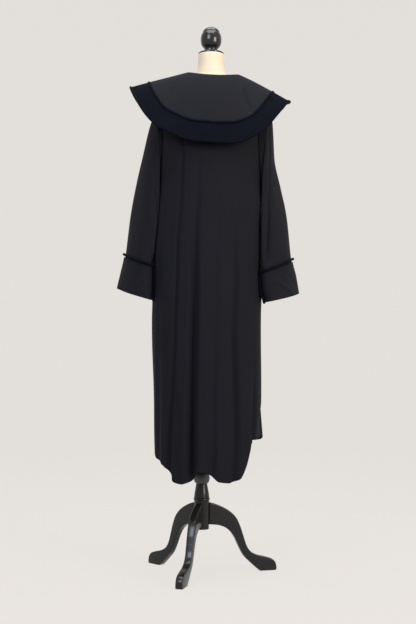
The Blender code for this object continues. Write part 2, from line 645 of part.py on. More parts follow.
def add_leg(name, azimuth, wood, parent):
    """A cabriole leg cut from board, turned round the axis to its place."""
    outline = LEG_TOP + LEG_UNDER
    count = len(outline)
    near = [(r, -LEG_BOARD / 2, z) for r, z in outline]
    far = [(r, LEG_BOARD / 2, z) for r, z in outline]
    faces = [tuple(range(count - 1, -1, -1)), tuple(range(count, 2 * count))]
    for j in range(count):
        k = (j + 1) % count
        faces.append((j, k, count + k, count + j))
    leg = add_object(name, near + far, faces, wood, parent, smooth_angle=30)
    leg.location.x = COLUMN_X
    leg.rotation_euler.z = np.radians(azimuth)
    ease = leg.modifiers.new("eased edges", "BEVEL")
    ease.width = LEG_EASE
    ease.segments = 1
    ease.limit_method = "ANGLE"
    ease.angle_limit = np.radians(60)


def main():
    """Clear the scene, then build the robe, the form and the stand."""
    for old in list(bpy.data.objects):
        bpy.data.objects.remove(old, do_unlink=True)
    axis = bpy.data.objects.new("robe_middle", None)
    axis.location = (*ROBE_MIDDLE, 0)
    bpy.context.scene.collection.objects.link(axis)

    cloth = material("black_wool", (0.018, 0.020, 0.026), 0.85)
    velvet = material("black_velvet", (0.006, 0.008, 0.014), 0.95)
    cream = material("cream_cover", (0.90, 0.83, 0.66), 0.55)
    gloss = material("black_lacquer", (0.010, 0.010, 0.011), 0.15)
    matte = material("dark_plastic", (0.045, 0.045, 0.050), 0.45)

    add_body(cloth, axis)
    for side in ("left", "right"):
        add_sleeve(side, cloth, axis)
        add_cuff(side, cloth, velvet, axis)
    add_collar(cloth, velvet, axis)

    add_form(cream, axis)
    add_turned("finial", FINIAL, FORM_X, gloss, axis)
    add_turned("neck_disc", NECK_DISC, FORM_X, gloss, axis)
    add_pole(matte, axis)
    add_turned("column_ball", COLUMN_BALL, COLUMN_X, matte, axis)
    add_turned("column_cone", COLUMN_CONE, COLUMN_X, gloss, axis)
    add_turned("hub", HUB, COLUMN_X, gloss, axis)
    for name, azimuth in LEG_TURNS.items():
        add_leg(name, azimuth, gloss, axis)


main()
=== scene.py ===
# %% [markdown]
# # A judge's robe on its dress form
#
# A judicial robe is a full, open gown of black worsted wool. This one hangs with its back to us
# on a limbless dress form: a plain back, two plain fronts, long set-in sleeves with turned-back
# cuffs, and a wide cape collar with a velvet border between two padded rolls.
#
# Each cell below makes one piece or one finish. Nearly every piece of cloth is the same idea: a
# formula gives a point for any pair of numbers (how far round, how far down), numpy works it out
# for a whole grid of pairs at once, and the grid is given the thickness of the cloth.

from collections import namedtuple

import bpy
import numpy as np
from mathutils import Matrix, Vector


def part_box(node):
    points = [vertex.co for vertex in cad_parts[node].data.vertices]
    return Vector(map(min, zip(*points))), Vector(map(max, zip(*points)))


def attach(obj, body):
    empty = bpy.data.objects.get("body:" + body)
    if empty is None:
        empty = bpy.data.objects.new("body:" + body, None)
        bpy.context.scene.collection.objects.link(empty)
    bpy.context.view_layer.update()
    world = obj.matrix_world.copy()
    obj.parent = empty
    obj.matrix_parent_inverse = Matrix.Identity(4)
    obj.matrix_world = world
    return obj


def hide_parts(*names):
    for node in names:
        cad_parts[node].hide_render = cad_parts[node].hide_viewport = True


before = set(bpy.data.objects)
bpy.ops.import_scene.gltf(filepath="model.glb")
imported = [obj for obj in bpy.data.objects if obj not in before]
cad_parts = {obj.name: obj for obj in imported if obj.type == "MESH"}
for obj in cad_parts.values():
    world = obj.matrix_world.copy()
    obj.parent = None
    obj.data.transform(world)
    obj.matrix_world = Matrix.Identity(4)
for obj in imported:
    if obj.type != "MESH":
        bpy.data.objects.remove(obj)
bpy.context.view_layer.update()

# %% [markdown]
# ## Where things stand
# The frame gives the two axes that matter. The form's axis runs through the neck disc, and the
# column's through the turned cone; everything is measured from the point between front and back
# where both stand. The rest are the sizes of the cloth itself.

# %% Axes and sizes


def middle_of(node):
    """The middle of a node's box."""
    low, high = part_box(node)
    return (low + high) / 2


MIDDLE_Y = middle_of("neck_disc").y
FORM_X = middle_of("neck_disc").x
COLUMN_X = middle_of("column_cone").x
CLOTH = 0.0020          # thickness of the wool with its seam allowances
VELVET = 0.0024         # thickness of the velvet on its canvas
ROLL = 0.0040           # radius of the padded velvet rolls
SEAM = 0.0008           # open room left between two pieces that are sewn to each other
LAP = 0.0015            # room between two layers that lie on each other
print(f"form at x {FORM_X:.4f}, column at x {COLUMN_X:.4f}, both at y {MIDDLE_Y:.4f}")

# %% [markdown]
# ## Curves through short tables
# A garment is drafted from a few measured stations. `through` runs a smooth curve through the
# rows of a table without swinging past any of them, so a hem or a hip never bulges where the
# table says it shouldn't. It is the Hermite curve whose slope at a row is the harmonic mean of
# the slopes on either side, and level where they disagree.

# %% Curves


def through(keys, values):
    """A smooth curve through rows: cubic Hermite pieces with harmonic-mean slopes."""
    keys, values = np.asarray(keys, float), np.asarray(values, float)
    steps = np.diff(keys)
    slopes = np.diff(values) / steps
    product = slopes[:-1] * slopes[1:]
    total = np.where(product > 0, slopes[:-1] + slopes[1:], 1.0)
    tangents = np.concatenate(([slopes[0]], np.where(product > 0, 2 * product / total, 0.0), [slopes[-1]]))

    def curve(at):
        """The table's value at any key; past either end it keeps the end's value."""
        at = np.clip(at, keys[0], keys[-1])
        row = np.clip(np.searchsorted(keys, at, side="right") - 1, 0, len(steps) - 1)
        t = (at - keys[row]) / steps[row]
        return (
            (1 + 2 * t) * (1 - t) ** 2 * values[row]
            + t * (1 - t) ** 2 * steps[row] * tangents[row]
            + t * t * (3 - 2 * t) * values[row + 1]
            + t * t * (t - 1) * steps[row] * tangents[row + 1]
        )

    return curve


def columns(table):
    """One curve for each column of a table, read along its first column."""
    rows = sorted(table)
    keys = [row[0] for row in rows]
    return {name: through(keys, [getattr(row, name) for row in rows]) for name in rows[0]._fields[1:]}


def between(start, end, share):
    """The value that share of the way from start to end."""
    return start + (end - start) * share


def ease(share):
    """A soft step from 0 to 1: three squares less two cubes."""
    share = np.clip(share, 0, 1)
    return share * share * (3 - 2 * share)


def trough(offset, half_width):
    """The section of a soft trough: a squared cosine, 1 in the middle and 0 at the half width."""
    return np.cos(np.pi / 2 * np.clip(offset / half_width, -1, 1)) ** 2


def turns(count):
    """Directions evenly spaced round a full turn, in radians, as one row."""
    return (np.arange(count) * 2 * np.pi / count)[None, :]


def ovals(x, half_width, depth, height, turn):
    """Points round level ovals: half width times sine to the side, depth times cosine to the back."""
    rings = np.broadcast_arrays(x + half_width * np.sin(turn), MIDDLE_Y - depth * np.cos(turn), height)
    return np.stack(rings, axis=-1)


print("halfway out, a trough is", round(trough(0.5, 1.0), 2), "of its depth")

# %% [markdown]
# ## Creases one by one
# Hanging wool falls in long soft troughs that wander, widen and deepen unevenly. Each crease is a
# small table of its own, a row for each station down its length: where it is (`along`), how far
# round the piece (`across`), how wide and how deep. A negative depth is a ridge.

# %% Creases
Knot = namedtuple("Knot", "along across half_width depth")


def crease(*rows):
    """The curves of one crease: its middle, half width and depth along its length."""
    return columns([Knot(*row) for row in rows])


def pressed_in(creases, across, along):
    """How far a set of creases presses a surface in: the sum of each one's trough."""
    depth = np.zeros(np.broadcast(across, along).shape)
    for one in creases:
        depth = depth + one["depth"](along) * trough(across - one["across"](along), one["half_width"](along))
    return depth


# %% [markdown]
# ## The body of the robe
# Back and fronts share one surface, because they are sewn to each other. `level` 0 is the
# neckline, 1 the underarm and 2 the hem; `angle` goes round from the middle of the back. Above
# the underarm the cloth lies on the shoulders, so its height falls from the shoulder line to the
# middle of the back and front. Below it hangs as a tube whose half width and depths come from
# the sections, and its last row follows the hem, a rounded shirt tail with a vent on one side.
# The right front has a hem of its own, because its edge laps under the back below the vent.

# %% Body tables
Yoke = namedtuple("Yoke", "share half_width middle_x side_z back_depth back_z front_depth front_z")
YOKE = (
    Yoke(0.00, 0.0790, 0.0165, 1.557, 0.062, 1.538, 0.070, 1.500),
    Yoke(0.14, 0.1120, 0.0130, 1.530, 0.088, 1.4955, 0.100, 1.458),
    Yoke(0.26, 0.1520, 0.0100, 1.502, 0.107, 1.449, 0.122, 1.415),
    Yoke(0.44, 0.1600, 0.0075, 1.415, 0.127, 1.385, 0.138, 1.350),
    Yoke(0.68, 0.1640, 0.0070, 1.300, 0.140, 1.285, 0.148, 1.275),
    Yoke(1.00, 0.1660, 0.0070, 1.150, 0.146, 1.150, 0.147, 1.150),
)
Section = namedtuple("Section", "height half_width middle_x back_depth front_depth")
BODY = (
    Section(0.300, 0.1645, -0.0010, 0.166, 0.160),
    Section(0.540, 0.1675, -0.0015, 0.160, 0.156),
    Section(0.800, 0.1705, -0.0045, 0.154, 0.151),
    Section(0.860, 0.1702, -0.0035, 0.153, 0.150),
    Section(0.930, 0.1690, -0.0035, 0.151, 0.149),
    Section(1.020, 0.1680, -0.0020, 0.149, 0.148),
    Section(1.085, 0.1665, 0.0015, 0.1475, 0.1475),
    Section(1.150, 0.1660, 0.0060, 0.146, 0.147),
    Section(1.300, 0.1640, 0.0070, 0.139, 0.148),
)
Hem = namedtuple("Hem", "angle height")
HEM = (
    Hem(-190, 0.312), Hem(-150, 0.320), Hem(-115, 0.348), Hem(-90, 0.374), Hem(-70, 0.362),
    Hem(-50, 0.337), Hem(-43, 0.307), Hem(-37, 0.297), Hem(-29, 0.294), Hem(-21, 0.302),
    Hem(-15, 0.321), Hem(-7, 0.331), Hem(3, 0.322), Hem(12, 0.302), Hem(26, 0.298),
    Hem(36, 0.307), Hem(45, 0.343), Hem(54, 0.410), Hem(72, 0.502), Hem(90, 0.537),
    Hem(96, 0.438), Hem(104, 0.414), Hem(116, 0.408), Hem(132, 0.363), Hem(152, 0.322),
    Hem(190, 0.312),
)
SHOULDER_TILT = 0.0035  # the neckline hangs this much lower at the right, higher at the left
CHEST = 0.62            # the level from which the yoke passes into the body's sections
YOKE_ROUND = 1.4        # the power of the cosine by which the yoke falls from the shoulder line
ARMHOLE_TOP = 0.26      # the level of the shoulder tip
ARMHOLE_MIDDLE, ARMHOLE_REACH = (ARMHOLE_TOP + 1) / 2, (1 - ARMHOLE_TOP) / 2
ARMHOLE_CUT = 24.0      # half the armhole's width, in degrees round the body
Swell = namedtuple("Swell", "depth angle half_width top fade")   # cloth that stands out below a height
VENT_FLARE = Swell(0.010, 97, 22, 0.54, 0.12)       # the right front's corner swings out below the vent
BACK_FULLNESS = Swell(0.008, 62, 23, 1.22, 0.10)    # the back's corners are fuller than an oval's
WAIST_SHARE, WAIST_TOP, WAIST_FADE = 0.3, 1.00, 0.08    # of which this share is left below the waist
SIDE_FULLNESS = Swell(0.0011, 93, 15, 1.13, 0.06)   # and its sides are, beside the sleeves
SIDE_END = 0.82         # down to this height
FRONT_HEM = (
    Hem(40, 0.420), Hem(62, 0.421), Hem(78, 0.423), Hem(90, 0.427), Hem(97, 0.424),
    Hem(104, 0.416), Hem(116, 0.408), Hem(132, 0.363), Hem(152, 0.322), Hem(190, 0.312),
)
yoke_at, body_at = columns(YOKE), columns(BODY)
hem_at, front_hem_at = columns(HEM)["height"], columns(FRONT_HEM)["height"]
print("hem from", min(row.height for row in HEM), "to", max(row.height for row in HEM), "m above the floor")

# %% [markdown]
# ## Folds of the body
# The back hangs in one sharp fold on the left, a deep trough that parts its tails and shallower
# ones beside them, and the fronts fall in even folds. A cloth simulation would make folds of its
# own choice. Drawn one by one, each one lies where this robe has it.

# %% Folds of the body (height, angle, half width in degrees, depth in metres)
BODY_FOLDS = [
    # the sharp fold that runs from under the collar down the left of the back
    crease((1.43, -30.5, 4.0, 0), (1.33, -30.8, 4.0, 0.0050), (1.10, -31.8, 4.0, 0.0070),
           (0.95, -32.3, 4.0, 0.0090), (0.75, -34.0, 4.2, 0.0090), (0.55, -39.5, 4.6, 0.0090),
           (0.40, -45.0, 5.5, 0.0110), (0.28, -46.5, 6.5, 0.0120)),
    # the deep trough that ends between the tails
    crease((1.34, -13.0, 7.0, 0), (1.20, -13.5, 7.0, 0.0030), (1.10, -14.0, 7.0, 0.0070),
           (0.95, -13.0, 7.0, 0.0150), (0.84, -12.7, 7.2, 0.0210), (0.67, -14.5, 7.5, 0.0260),
           (0.49, -17.0, 8.0, 0.0310), (0.37, -17.5, 8.5, 0.0330), (0.28, -19.5, 9.0, 0.0340)),
    crease((1.22, 10.0, 7.5, 0), (1.10, 9.3, 7.5, 0.0030), (0.90, 8.5, 7.5, 0.0050),
           (0.64, 6.5, 8.0, 0.0070), (0.41, 4.5, 8.0, 0.0100), (0.28, 3.5, 8.5, 0.0120)),
    crease((1.12, 33.0, 5.0, 0), (1.00, 32.5, 5.0, 0.0050), (0.90, 32.0, 5.0, 0.0100),
           (0.71, 30.0, 5.5, 0.0120), (0.55, 31.0, 6.0, 0.0140), (0.43, 32.5, 6.5, 0.0140),
           (0.28, 29.5, 7.5, 0.0160)),
    crease((0.74, 55.5, 5.0, 0), (0.60, 57.0, 5.5, 0.0040), (0.48, 57.5, 6.0, 0.0090),
           (0.38, 58.5, 7.0, 0.0100)),
    crease((1.18, -55.0, 8.0, 0), (1.00, -56.5, 8.0, 0.0030), (0.78, -58.0, 8.0, 0.0020),
           (0.60, -62.0, 9.0, 0.0040), (0.30, -66.0, 9.0, 0.0070)),
    # the fronts
    crease((1.40, 118.0, 8.0, 0), (1.20, 117.0, 8.0, 0.0040), (0.80, 115.0, 8.0, 0.0090),
           (0.55, 113.5, 8.0, 0.0120), (0.30, 112.0, 10.0, 0.0140)),
    crease((1.38, 143.0, 7.0, 0), (1.24, 143.0, 7.0, 0.0050), (0.90, 144.0, 7.0, 0.0130),
           (0.60, 141.5, 8.5, 0.0180), (0.30, 141.0, 10.0, 0.0220)),
    crease((1.05, 162.0, 5.0, 0), (0.80, 163.0, 5.5, 0.0060), (0.52, 161.0, 6.0, 0.0100),
           (0.28, 162.0, 7.5, 0.0120)),
    crease((1.38, -120.0, 8.0, 0), (1.15, -119.0, 7.0, 0.0050), (0.80, -118.0, 7.0, 0.0110),
           (0.50, -116.0, 8.0, 0.0140), (0.28, -115.5, 9.0, 0.0160)),
    crease((1.36, -146.0, 8.0, 0), (1.20, -146.5, 7.0, 0.0060), (0.95, -144.0, 7.0, 0.0110),
           (0.62, -143.0, 8.5, 0.0170), (0.28, -142.0, 10.0, 0.0210)),
    crease((1.12, -164.0, 5.0, 0), (0.90, -163.0, 5.5, 0.0050), (0.60, -164.0, 6.0, 0.0090),
           (0.28, -165.0, 7.5, 0.0110)),
]
SEAM_DIP = 0.0016       # the cloth dips this much towards a seam
SEAM_REACH = 0.012      # and starts to this far from it
RIPPLE = 0.0005         # slow unevenness of pressed cloth
RIPPLE_START = 0.3      # it grows from this level down, over as much again
print(len(BODY_FOLDS), "folds on the body")

# %% [markdown]
# ## One surface for back and fronts
# Each panel could be drafted flat and bent into place, but then its seams would have to be matched
# to its neighbours'. Here all three are cut from one surface, so they meet along the same line.

# %% Body surface


def armhole_cut(level):
    """Half the armhole's width: the armhole is an oval in angle and level."""
    return ARMHOLE_CUT * np.sqrt(np.clip(1 - ((level - ARMHOLE_MIDDLE) / ARMHOLE_REACH) ** 2, 0, 1))


def armhole_level(turn):
    """The level of the armhole's edge, going round it from the shoulder tip."""
    return ARMHOLE_MIDDLE - ARMHOLE_REACH * np.cos(np.radians(turn))


def ripple(across, down):
    """Slow waves of unlike lengths and directions, in metres across and down, added up."""
    return (
        np.sin(41 * across + 9 * down + 0.4)
        + 0.7 * np.sin(83 * across - 13 * down + 2.1 + 1.5 * np.sin(7 * down))
        + 0.5 * np.sin(23 * down + 31 * across + 5.0)
    )


def swollen(swell, angle, z):
    """How far a swell stands out: a squared cosine round the body, eased in below its top."""
    return swell.depth * trough(angle - swell.angle, swell.half_width) * ease((swell.top - z) / swell.fade)


def robe_surface(angle, level, own_hem=False):
    """The body: an oval section (half width times sine, minus depth times cosine) at each level,
    moved in along its own normal by the folds and the dips at the seams, and out by the fuller
    corners, the fuller sides and the flare below the vent."""
    angle, level = np.broadcast_arrays(np.asarray(angle, float), np.asarray(level, float))
    sin, cos = np.sin(np.radians(angle)), np.cos(np.radians(angle))
    share, behind = np.clip(level, 0, 1), cos > 0
    far_z = np.where(behind, yoke_at["back_z"](share), yoke_at["front_z"](share))
    far_depth = np.where(behind, yoke_at["back_depth"](share), yoke_at["front_depth"](share))
    yoke_z = between(yoke_at["side_z"](share), far_z, np.abs(cos) ** YOKE_ROUND)
    yoke_z = yoke_z - SHOULDER_TILT * sin * (1 - share) ** 3
    underarm = YOKE[-1].side_z
    hem = front_hem_at(angle) if own_hem else hem_at(angle)
    body_z = underarm + (hem - underarm) * np.clip(level - 1, 0, None)
    z = np.where(level > 1, body_z, yoke_z)
    body_depth = np.where(behind, body_at["back_depth"](z), body_at["front_depth"](z))
    body = ease((level - CHEST) / (1 - CHEST))
    half_width = between(yoke_at["half_width"](share), body_at["half_width"](z), body)
    depth = between(far_depth, body_depth, body)
    middle = between(yoke_at["middle_x"](share), body_at["middle_x"](z), body)
    flare = VENT_FLARE.depth * trough(angle - VENT_FLARE.angle, VENT_FLARE.half_width)
    flare = flare * np.clip((VENT_FLARE.top - z) / VENT_FLARE.fade, 0, 1) * ((angle > 90) | own_hem)
    out = np.stack([sin / half_width, -cos / depth])
    out = out / np.hypot(*out)
    metres = np.radians(angle) * half_width
    to_seam = np.abs(90 - np.abs(angle)) - armhole_cut(level)
    dip = SEAM_DIP * trough(np.radians(to_seam) * half_width, SEAM_REACH) * (level > ARMHOLE_TOP)
    full = swollen(BACK_FULLNESS, np.abs(angle), z)
    full = full * between(1.0, WAIST_SHARE, ease((WAIST_TOP - z) / WAIST_FADE))
    full = full + swollen(SIDE_FULLNESS, np.abs(angle), z) * ease((z - SIDE_END) / SIDE_FULLNESS.fade)
    wave = RIPPLE * ripple(metres, z) * ease((level - RIPPLE_START) / RIPPLE_START)
    press = flare + full + wave - dip - pressed_in(BODY_FOLDS, angle, z)
    return np.stack(
        [middle + half_width * sin + out[0] * press, MIDDLE_Y - depth * cos + out[1] * press, z], axis=-1
    )


print("shoulder tip at", robe_surface(90.0, ARMHOLE_TOP).round(3), "m")

# %% [markdown]
# ## Giving a grid the thickness of cloth
# A piece of cloth is a wall with soft, rounded cut edges. The grid is the cloth's middle. Three
# extra rows (and columns) are put close to each open edge, and both faces stand off the middle by
# the height of a half circle there, so they meet in one closed rounded rim. The same lengths that
# place the points also lay out the piece's UV map in metres, so that a weave has its true size.

# %% Cloth walls
RIM = np.array([0.0, 0.06, 0.25, 0.6])   # where the rows of a rim stand, in half thicknesses


def with_rims(points, radius):
    """The grid with rim rows at its first and last row, and each row's distance in from the edge."""
    def near(edge, inner):
        """The rows of one rim, close to its edge."""
        step = inner - edge
        share = radius / np.linalg.norm(step, axis=-1, keepdims=True)
        return edge + step * share * RIM[:, None, None]

    first, last = near(points[0], points[1]), near(points[-1], points[-2])[::-1]
    reach = np.concatenate([RIM, np.ones(len(points) - 2), RIM[::-1]])
    return np.concatenate([first, points[1:-1], last]), reach


def grid_normals(points, closed):
    """Unit normals of a grid: the step down its rows crossed with the step along them."""
    down = np.gradient(points, axis=0)
    along = np.gradient(points, axis=1)
    if closed:
        along = np.roll(points, -1, axis=1) - np.roll(points, 1, axis=1)
    normal = np.cross(down, along)
    return normal / np.linalg.norm(normal, axis=-1, keepdims=True)


def faces_out(points, normal):
    """True where the normals point away from the middles of the rows."""
    away = points - points.mean(axis=1, keepdims=True)
    return (away * normal).sum() > 0


def lengths(points, axis):
    """Distance travelled along one direction of a grid, from its first row or column."""
    steps = np.linalg.norm(np.diff(points, axis=axis), axis=-1)
    return np.concatenate([np.zeros_like(np.take(steps, [0], axis)), np.cumsum(steps, axis=axis)], axis=axis)


def quads(grid):
    """The four corners of every cell of a grid."""
    corners = np.stack([grid[:-1, :-1], grid[1:, :-1], grid[1:, 1:], grid[:-1, 1:]], axis=2)
    return corners.reshape(-1, 4, *grid.shape[2:])


def in_scene(name, data):
    """An object in the scene for a mesh, a light or a camera."""
    made = bpy.data.objects.new(name, data)
    bpy.context.scene.collection.objects.link(made)
    return made


def add_mesh(name, points, faces, finish):
    """A smooth object at the origin, from points and faces."""
    mesh = bpy.data.meshes.new(name)
    mesh.from_pydata(points, [], faces)
    mesh.materials.append(finish)
    mesh.shade_smooth()
    return in_scene(name, mesh)


def stands_for(piece, node, slot):
    """The piece is shown instead of its plain solid and rides on the only body; the slot is not used."""
    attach(piece, "root")
    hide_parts(node)


def cloth(name, points, thickness, finish, lift=0.0, closed=False):
    """A wall of cloth whose outer face is the grid raised by lift. Returns it and its cut:
    the longest row, the longest column and the area of the middle of the cloth."""
    radius = thickness / 2
    if not faces_out(points, grid_normals(points, closed)):
        points, lift = points[:, ::-1], lift[:, ::-1] if np.ndim(lift) else lift
    points = points + grid_normals(points, closed) * (np.asarray(lift) - radius)[..., None]
    points, reach = with_rims(points, radius)
    reach = reach[:, None]
    if not closed:
        turned, across = with_rims(points.swapaxes(0, 1), radius)
        points = turned.swapaxes(0, 1)
        reach = np.minimum(reach, across[None, :])
    off = (radius * np.sqrt(1 - (1 - reach) ** 2))[..., None] * grid_normals(points, closed)
    rows, cols = points.shape[:2]
    outer = np.arange(rows * cols).reshape(rows, cols)
    inner = outer + rows * cols
    inner[[0, -1]] = outer[[0, -1]]
    wrap = [*range(cols), 0] if closed else [*range(cols)]
    if not closed:
        inner[:, [0, -1]] = outer[:, [0, -1]]
    looped = points[:, wrap]
    place = np.stack([lengths(looped, 1), -lengths(looped, 0)], axis=-1)
    place[..., 0] -= place[:, len(wrap) // 2, 0][:, None]
    faces = np.concatenate([quads(outer[:, wrap]), quads(inner[:, wrap])[:, ::-1]])
    layout = np.concatenate([quads(place), quads(place)[:, ::-1]])
    both = np.concatenate([points + off, points - off]).reshape(-1, 3)
    used, corners = np.unique(faces, return_inverse=True)
    made = add_mesh(name, both[used], corners.reshape(-1, 4), finish)
    made.data.uv_layers.new(name="cut").data.foreach_set("uv", layout.astype(np.float32).ravel())
    cell = quads(looped)
    area = np.linalg.norm(np.cross(cell[:, 2] - cell[:, 0], cell[:, 3] - cell[:, 1]), axis=1).sum() / 2
    cut = (np.ptp(place[..., 0], axis=1).max(), np.ptp(place[..., 1], axis=0).max(), area)
    print(f"{name}: {2 * len(faces)} triangles, cut {cut[0]:.2f} x {cut[1]:.2f} m, {area:.3f} square metres")
    return made, cut


# %% [markdown]
# ## Writing shader maths as arithmetic
# Blender's materials are graphs of nodes, which read badly as code. `Wire` wraps one output of a
# node, so `0.3 * grain + 0.1` adds the Math nodes for us. Everything else goes through `node`.

# %% Shader arithmetic


def node(tree, kind, settings, inputs, output=0):
    """Adds a node: its settings first, then a value or a wire for each input. Returns a wire."""
    made = tree.nodes.new(kind)
    for name, value in settings.items():
        setattr(made, name, value)
    for name, value in inputs.items():
        if isinstance(value, Wire):
            tree.links.new(value.socket, made.inputs[name])
        else:
            made.inputs[name].default_value = value
    return Wire(tree, made.outputs[output])


class Wire:
    """One output of a shader node; sums and products of wires add Math nodes."""

    def __init__(self, tree, socket):
        self.tree = tree
        self.socket = socket

    def math(self, operation, first, second=0.0):
        """Adds a Math node for two values or wires."""
        return node(self.tree, "ShaderNodeMath", {"operation": operation}, {0: first, 1: second})

    def __add__(self, other):
        return self.math("ADD", self, other)

    def __mul__(self, other):
        return self.math("MULTIPLY", self, other)

    def sine(self):
        return self.math("SINE", self)

    __radd__ = __add__
    __rmul__ = __mul__


class Finish:
    """A material with its Principled shader. Fixed values are set on the shader's own sockets."""

    def __init__(self, name, **fixed):
        self.material = bpy.data.materials.new(name)
        self.material.use_nodes = True
        self.tree = self.material.node_tree
        self.shader = self.tree.nodes["Principled BSDF"]
        for socket, value in fixed.items():
            self.shader.inputs[socket.replace("_", " ")].default_value = value
        print("finish:", name)

    def node(self, kind, settings, output=0, **inputs):
        """Adds a node to this finish; an underscore in the name of an input stands for a space."""
        named = {name.replace("_", " "): value for name, value in inputs.items()}
        return node(self.tree, kind, settings, named, output)

    def place(self, kind):
        """Where a point is: Object coordinates, or the piece's own UV map in metres."""
        if kind == "cut":
            return self.node("ShaderNodeUVMap", {"uv_map": "cut"})
        return self.node("ShaderNodeTexCoord", {}, output=3)

    def parts(self, place):
        """The x and y of a place."""
        return [self.node("ShaderNodeSeparateXYZ", {}, output=i, Vector=place) for i in (0, 1)]

    def noise(self, place, scale, detail=2.0, stretch=(1, 1, 1)):
        """Noise between 0 and 1 with features one scale-th of a metre across."""
        moved = self.node("ShaderNodeMapping", {}, Vector=place, Scale=tuple(scale * s for s in stretch))
        return self.node("ShaderNodeTexNoise", {}, Vector=moved, Scale=1.0, Detail=detail)

    def mix(self, share, first, second):
        """A colour between two, by share."""
        return node(self.tree, "ShaderNodeMix", {"data_type": "RGBA"}, {0: share, 6: first, 7: second}, 2)

    def bump(self, height, distance, strength=1.0):
        """Surface relief from a height between 0 and 1, distance metres deep."""
        relief = self.node("ShaderNodeBump", {}, Height=height, Distance=distance, Strength=strength)
        self.give("Normal", relief)

    def give(self, socket, wire):
        """Feeds one of the shader's own sockets."""
        self.tree.links.new(wire.socket, self.shader.inputs[socket])


def shade(color, factor=1.0):
    """A colour with its alpha, made lighter or darker."""
    return (*(channel * factor for channel in color), 1.0)


# %% [markdown]
# ## Black worsted
# A fine twill: each thread steps over two and under two, which leaves faint diagonal ribs about a
# millimetre apart. Worsted is dull but not dead, so it has a low sheen where it turns away, and
# slow patches where pressing has left it a little smoother.

# %% Worsted wool
WOOL = (0.0062, 0.0063, 0.0089)
TWILL_PITCH = 0.0011    # from one rib to the next, measured across the cloth
TWILL_SLOPE = 0.6       # how far a rib climbs while it crosses one unit of the cloth


def worsted():
    """Dark blue-black wool: twill ribs and yarn noise in relief, slow changes of tone and roughness."""
    made = Finish("worsted wool", Sheen_Weight=0.012, Sheen_Roughness=0.45, Sheen_Tint=(0.80, 0.87, 1.0, 1),
                  Specular_IOR_Level=0.07)
    cut = made.place("cut")
    across, down = made.parts(cut)
    rib = ((across + down * TWILL_SLOPE) * (2 * np.pi / TWILL_PITCH)).sine() * 0.5 + 0.5
    yarn = made.noise(cut, 900.0, stretch=(1, 0.35, 1))
    slow = made.noise(cut, 11.0, detail=3.0, stretch=(1, 0.35, 1))
    made.give("Base Color", made.mix(slow * 0.6 + yarn * 0.4, shade(WOOL, 0.72), shade(WOOL, 1.28)))
    made.give("Roughness", 0.74 + slow * 0.16)
    made.bump(rib * 0.6 + yarn * 0.4, 0.00012, 0.35)
    return made.material


wool = worsted()

# %% [markdown]
# ## Velvet
# Velvet is a dense pile standing on its ground. It swallows light from the front and lights up
# along edges, so it has less colour and more sheen than the wool, with soft patches where the
# pile has been brushed the other way.

# %% Velvet
PILE = (0.0020, 0.0026, 0.0050)


def pile():
    """Blue-black velvet: fine pile in relief and slow patches of brushed nap."""
    made = Finish("velvet", Sheen_Weight=0.022, Sheen_Roughness=0.30, Sheen_Tint=(0.55, 0.68, 1.0, 1),
                  Specular_IOR_Level=0.03)
    place = made.place("object")
    nap = made.noise(place, 26.0, detail=3.0)
    tufts = made.noise(place, 1500.0)
    made.give("Base Color", made.mix(nap, shade(PILE, 0.6), shade(PILE, 1.5)))
    made.give("Roughness", 0.80 + nap * 0.18)
    made.bump(tufts * 0.7 + nap * 0.3, 0.0004, 0.5)
    return made.material


velvet = pile()

# %% [markdown]
# ## Back and fronts
# A panel's columns run from side to side. Where its side is an armhole, the columns nearest it
# bend in to follow the oval, and the others hardly move, so the grain stays straight. The right
# front laps over the left at the middle.

# %% Panels
FRONT_LAP = 6.0         # each front's middle edge lies this many degrees past the middle
LAP_START, LAP_SPAN = 148, 20   # the right front rises over the left from this angle on
VENT_UNDERLAP = 34.0    # how far the right front's edge goes under the back, in degrees
VENT_START, VENT_SPAN = 120, 30     # its columns shift from this angle towards the side
VENT_LEVEL = 1.837      # the level at which it starts to
VENT_EASE = 0.07        # over this much level
VENT_ROOM = 0.0075      # and how far inside the back it lies
VENT_TUCK = 0.035       # the edge turns in over this much level before it slides under
TUCK_START, TUCK_SPAN = 99, 9   # and only from this angle towards the side
SIDE = 90 - np.degrees(SEAM / 8 / YOKE[0].half_width)   # the panels' side edges just miss each other
EDGE_BEND = 2.5         # the power that keeps the armhole's bend to the columns beside it
LEVELS = np.concatenate(
    [
        np.linspace(0, ARMHOLE_TOP, 20)[:-1],
        armhole_level(np.linspace(0, 180, 64)),
        np.linspace(1, 2, 121)[1:],
    ]
)


def panel_grid(start, end, steps):
    """Angles and levels of a panel: even columns, bent in by the armhole's cut near a side."""
    share, level = np.linspace(0, 1, steps + 1)[None, :], LEVELS[:, None]
    angle = start + (end - start) * share
    for edge, near in ((start, 1 - 2 * share), (end, 2 * share - 1)):
        at_side = np.isclose(np.abs(edge), 90, atol=2)
        inward = np.sign((start + end) / 2 - edge)
        angle = angle + at_side * inward * armhole_cut(level) * np.clip(near, 0, 1) ** EDGE_BEND
    return angle, np.broadcast_to(level, angle.shape)


cuts = {}


